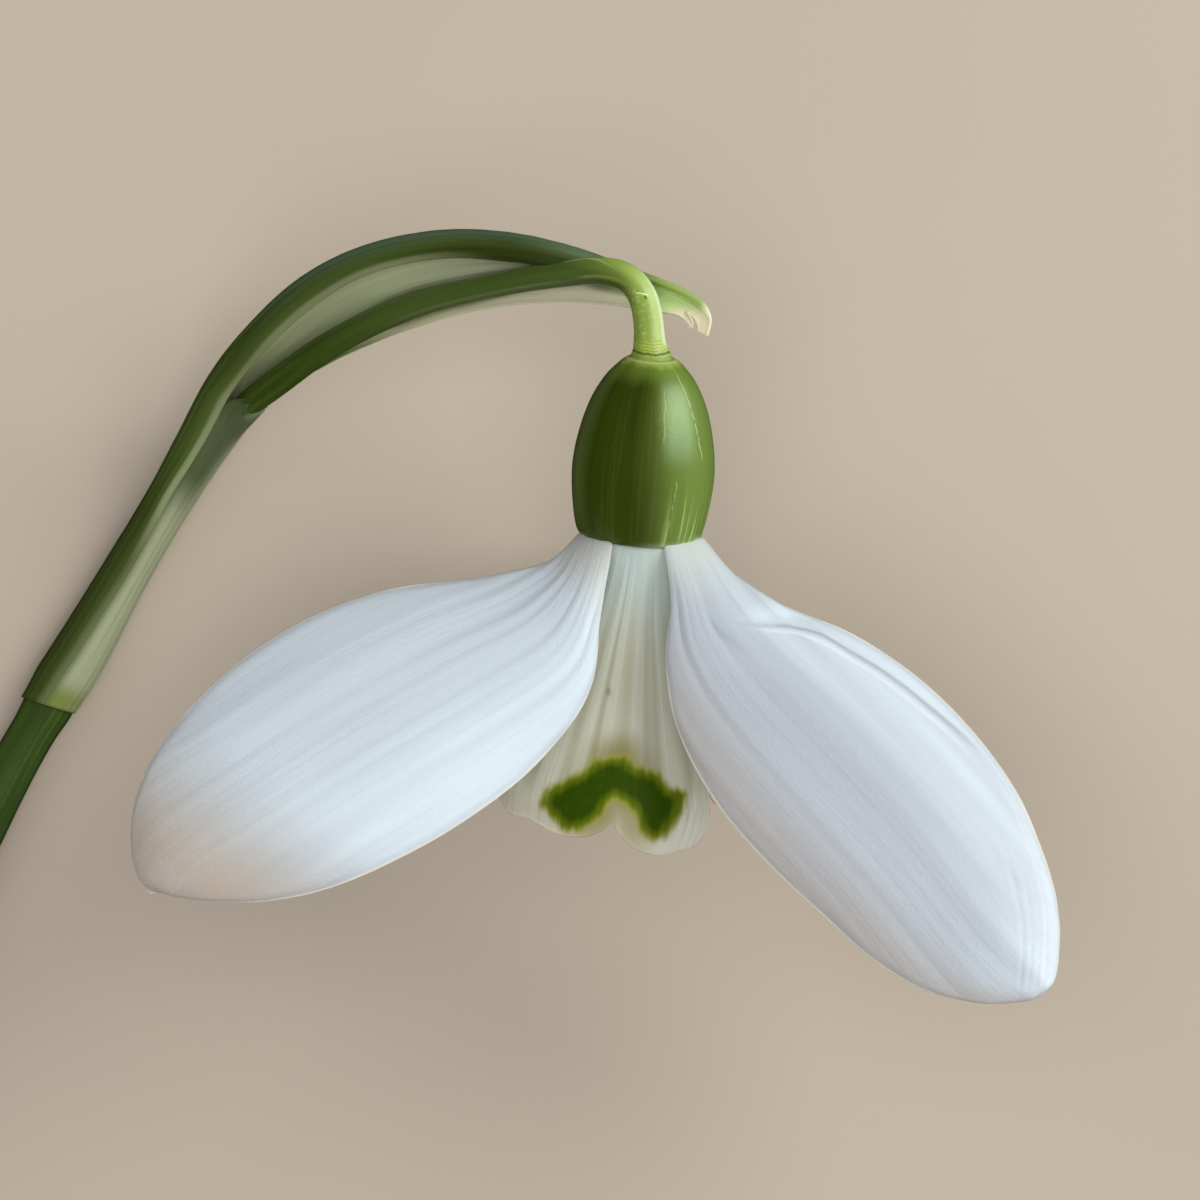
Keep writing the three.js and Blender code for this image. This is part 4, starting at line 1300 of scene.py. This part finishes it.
def stamens_and_style():
    stamens = [tube("stamens_disc", along_cup(round_shape(DISC_OUTLINE, 48, 24), DISC_HEIGHT))]
    filament = round_shape(FILAMENT_OUTLINE, 12, 14)
    anther = round_shape(ANTHER_OUTLINE, 20, 40)
    anther[..., :2] *= 1 - 0.13 * np.cos(2 * np.linspace(0, 2 * np.pi, 21))[None, :, None]
    pair = []
    for kind, shape in (("filament", filament), ("anther", anther)):
        points = along_cup(shape, STAMEN_HEIGHT, STAMEN_RING, math.pi / STAMENS)
        pair.append((kind, tube(f"stamens_{kind}_0", points)))
        stamens.append(pair[-1][1])
    for k in range(1, STAMENS):
        for kind, piece in pair:
            stamens.append(turned_copy(piece, f"stamens_{kind}_{k}", 2 * math.pi * k / STAMENS))
    orange = speckled_paint("Anther orange", ANTHER_DARK, ANTHER_LIGHT, 2500.0, 0.65, 0.03)
    pale = speckled_paint("Filament and disc", FILAMENT_DARK, FILAMENT_LIGHT, 1800.0, 0.45, 0.02)
    for piece in stamens:
        dress(piece, "stamens", orange if "anther" in piece.name else pale)
        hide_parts("stamens")
    piece = tube("style_stick", along_cup(round_shape(STYLE_OUTLINE, 24, 60), STYLE_HEIGHT))
    dress(piece, "style", style_paint())
    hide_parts("style")


# Stage


def floor_paint(look):
    p = Paint("Pale floor")
    p.colour = look.floor
    return p.finish(0.85, Specular_IOR_Level=0.1)


def area_light(name, target, power, spot, size, colour, mirrored):
    bpy.ops.object.light_add(type="AREA", location=spot)
    lamp = bpy.context.object
    lamp.name = name
    lamp.data.shape = "DISK"
    lamp.data.size = size
    lamp.data.energy = power
    lamp.data.color = colour
    lamp.visible_camera = False
    lamp.visible_glossy = mirrored
    lamp.rotation_euler = (Vector(target) - Vector(spot)).to_track_quat("-Z", "Y").to_euler()


def stage(look):
    clear_selection()
    bpy.ops.mesh.primitive_plane_add(size=FLOOR_SIZE, location=(0, 0, 0))
    floor = bpy.context.object
    floor.name = "floor"
    floor.data.materials.append(floor_paint(look))
    floor.visible_glossy = False
    middle = (place(*MIDDLE, AXIS_HEIGHT) + FLOWER_PLACE) * MM
    for name, setting in LIGHTS.items():
        area_light(name, middle, getattr(look, name + "_power"), *setting)
    world = bpy.data.worlds.new("Pale room")
    world.use_nodes = True
    sky = world.node_tree.nodes["Background"]
    sky.inputs["Color"].default_value = (*SKY_COLOUR, 1)
    sky.inputs["Strength"].default_value = look.sky
    world.cycles_visibility.glossy = False
    bpy.context.scene.world = world
    bpy.context.scene.view_settings.view_transform = "Standard"
    bpy.ops.object.camera_add(location=(middle[0], middle[1], (AXIS_HEIGHT + EYE) * MM), rotation=(0, 0, 0))
    camera = bpy.context.object
    camera.name = "camera"
    camera.data.sensor_width = SENSOR
    camera.data.lens = SENSOR * EYE * GRID / FRAME
    camera.data.clip_start = 0.01
    camera.data.clip_end = 10
    bpy.context.scene.camera = camera


# The add-on


def colour_setting(name, description, default):
    return FloatVectorProperty(name=name, description=description, subtype="COLOR", default=default)


def light_setting(name, default):
    return FloatProperty(name=name, description="Power of this light", unit="POWER", default=default, min=0)


class SnowdropLook(bpy.types.PropertyGroup):
    """Sizes and colours of the flower and its stage."""

    detail: IntProperty(name="Detail", description="Faces across an outer tepal", default=84, min=16, max=96)
    tepal_thick: FloatProperty(
        name="Tepal thickness",
        description="At the middle of a tepal",
        subtype="DISTANCE",
        precision=5,
        default=0.0003,
        min=0.0001,
        max=0.0006,
    )
    tepal_glow: FloatProperty(
        name="Tepal glow",
        description="Share of light let through",
        subtype="FACTOR",
        default=0.3,
        min=0.0,
        max=0.9,
    )
    tepal_white: colour_setting("Tepal white", "Outer tepals in light", (0.80, 0.90, 0.98))
    # Painted shade: the outer tepals take this colour where their lit value is low
    tepal_shade: colour_setting("Tepal shade", "Outer tepals between the pleats", (0.49, 0.525, 0.585))
    inner_cream: colour_setting("Rib cream", "Ribs of the inner tepals", (0.70, 0.705, 0.59))
    inner_furrow: colour_setting("Furrow", "Between the ribs", (0.54, 0.53, 0.40))
    mark_green: colour_setting("Mark green", "Heart of the green mark", (0.030, 0.072, 0.001))
    ovary_dark: colour_setting("Ovary dark", "Shaded green", (0.020, 0.029, 0.001))
    ovary_green: colour_setting("Ovary green", "Lit green", (0.056, 0.082, 0.003))
    pedicel_green: colour_setting("Pedicel green", "At the arch", (0.25, 0.355, 0.05))
    scape_green: colour_setting("Scape green", "Flower stalk", (0.040, 0.072, 0.010))
    keel_green: colour_setting("Keel green", "Keels of the spathe", (0.040, 0.061, 0.009))
    membrane: colour_setting("Membrane", "Papery part of the spathe", (0.62, 0.64, 0.44))
    floor: colour_setting("Floor", "Pale floor", (0.52, 0.44, 0.35))
    key_power: light_setting("Key light", 0.72)
    window_power: light_setting("Window light", 0.75)
    fill_power: light_setting("Fill light", 0.3)
    overhead_power: light_setting("Overhead light", 0.95)
    low_power: light_setting("Low light", 0.2)
    sky: FloatProperty(name="Sky", description="Light from all round", default=0.15, min=0)


class SNOWDROP_OT_outer_tepals(bpy.types.Operator):
    """Model the outer tepals"""

    bl_idname = "snowdrop.outer_tepals"
    bl_label = "Outer tepals"

    def execute(self, context):
        outer_tepals(context.scene.snowdrop_look)
        return {"FINISHED"}


class SNOWDROP_OT_inner_tepals(bpy.types.Operator):
    """Model the inner tepals with their green marks"""

    bl_idname = "snowdrop.inner_tepals"
    bl_label = "Inner tepals"

    def execute(self, context):
        inner_tepals(context.scene.snowdrop_look)
        return {"FINISHED"}


class SNOWDROP_OT_ovary(bpy.types.Operator):
    """Model the ovary"""

    bl_idname = "snowdrop.ovary"
    bl_label = "Ovary"

    def execute(self, context):
        ovary(context.scene.snowdrop_look)
        return {"FINISHED"}


class SNOWDROP_OT_stamens(bpy.types.Operator):
    """Model the stamens and the style"""

    bl_idname = "snowdrop.stamens"
    bl_label = "Stamens and style"

    def execute(self, context):
        stamens_and_style()
        return {"FINISHED"}


class SNOWDROP_OT_pedicel(bpy.types.Operator):
    """Model the pedicel"""

    bl_idname = "snowdrop.pedicel"
    bl_label = "Pedicel"

    def execute(self, context):
        pedicel(context.scene.snowdrop_look)
        return {"FINISHED"}


class SNOWDROP_OT_scape(bpy.types.Operator):
    """Model the scape and its cut end"""

    bl_idname = "snowdrop.scape"
    bl_label = "Scape"

    def execute(self, context):
        scape(context.scene.snowdrop_look)
        return {"FINISHED"}


class SNOWDROP_OT_spathe(bpy.types.Operator):
    """Model the spathe"""

    bl_idname = "snowdrop.spathe"
    bl_label = "Spathe"

    def execute(self, context):
        spathe(context.scene.snowdrop_look)
        return {"FINISHED"}


class SNOWDROP_OT_stage(bpy.types.Operator):
    """Set the floor, the lights and the camera"""

    bl_idname = "snowdrop.stage"
    bl_label = "Stage"

    def execute(self, context):
        stage(context.scene.snowdrop_look)
        return {"FINISHED"}


OPERATORS = (
    SNOWDROP_OT_outer_tepals,
    SNOWDROP_OT_inner_tepals,
    SNOWDROP_OT_ovary,
    SNOWDROP_OT_stamens,
    SNOWDROP_OT_pedicel,
    SNOWDROP_OT_scape,
    SNOWDROP_OT_spathe,
    SNOWDROP_OT_stage,
)


class SNOWDROP_PT_panel(bpy.types.Panel):
    """Lists the flower's steps"""

    bl_label = "Snowdrop flower"
    bl_space_type = "VIEW_3D"
    bl_region_type = "UI"
    bl_category = "Snowdrop"

    def draw(self, context):
        for operator in OPERATORS:
            self.layout.operator(operator.bl_idname)
        for name in SnowdropLook.__annotations__:
            self.layout.prop(context.scene.snowdrop_look, name)


CLASSES = (SnowdropLook, *OPERATORS, SNOWDROP_PT_panel)


def register():
    for cls in CLASSES:
        bpy.utils.register_class(cls)
    bpy.types.Scene.snowdrop_look = PointerProperty(type=SnowdropLook)


def unregister():
    del bpy.types.Scene.snowdrop_look
    for cls in reversed(CLASSES):
        bpy.utils.unregister_class(cls)


def main():
    register()
    bpy.ops.snowdrop.outer_tepals()
    bpy.ops.snowdrop.inner_tepals()
    bpy.ops.snowdrop.ovary()
    bpy.ops.snowdrop.stamens()
    bpy.ops.snowdrop.pedicel()
    bpy.ops.snowdrop.scape()
    bpy.ops.snowdrop.spathe()
    bpy.ops.snowdrop.stage()
    clear_selection()


if __name__ == "__main__":
    main()
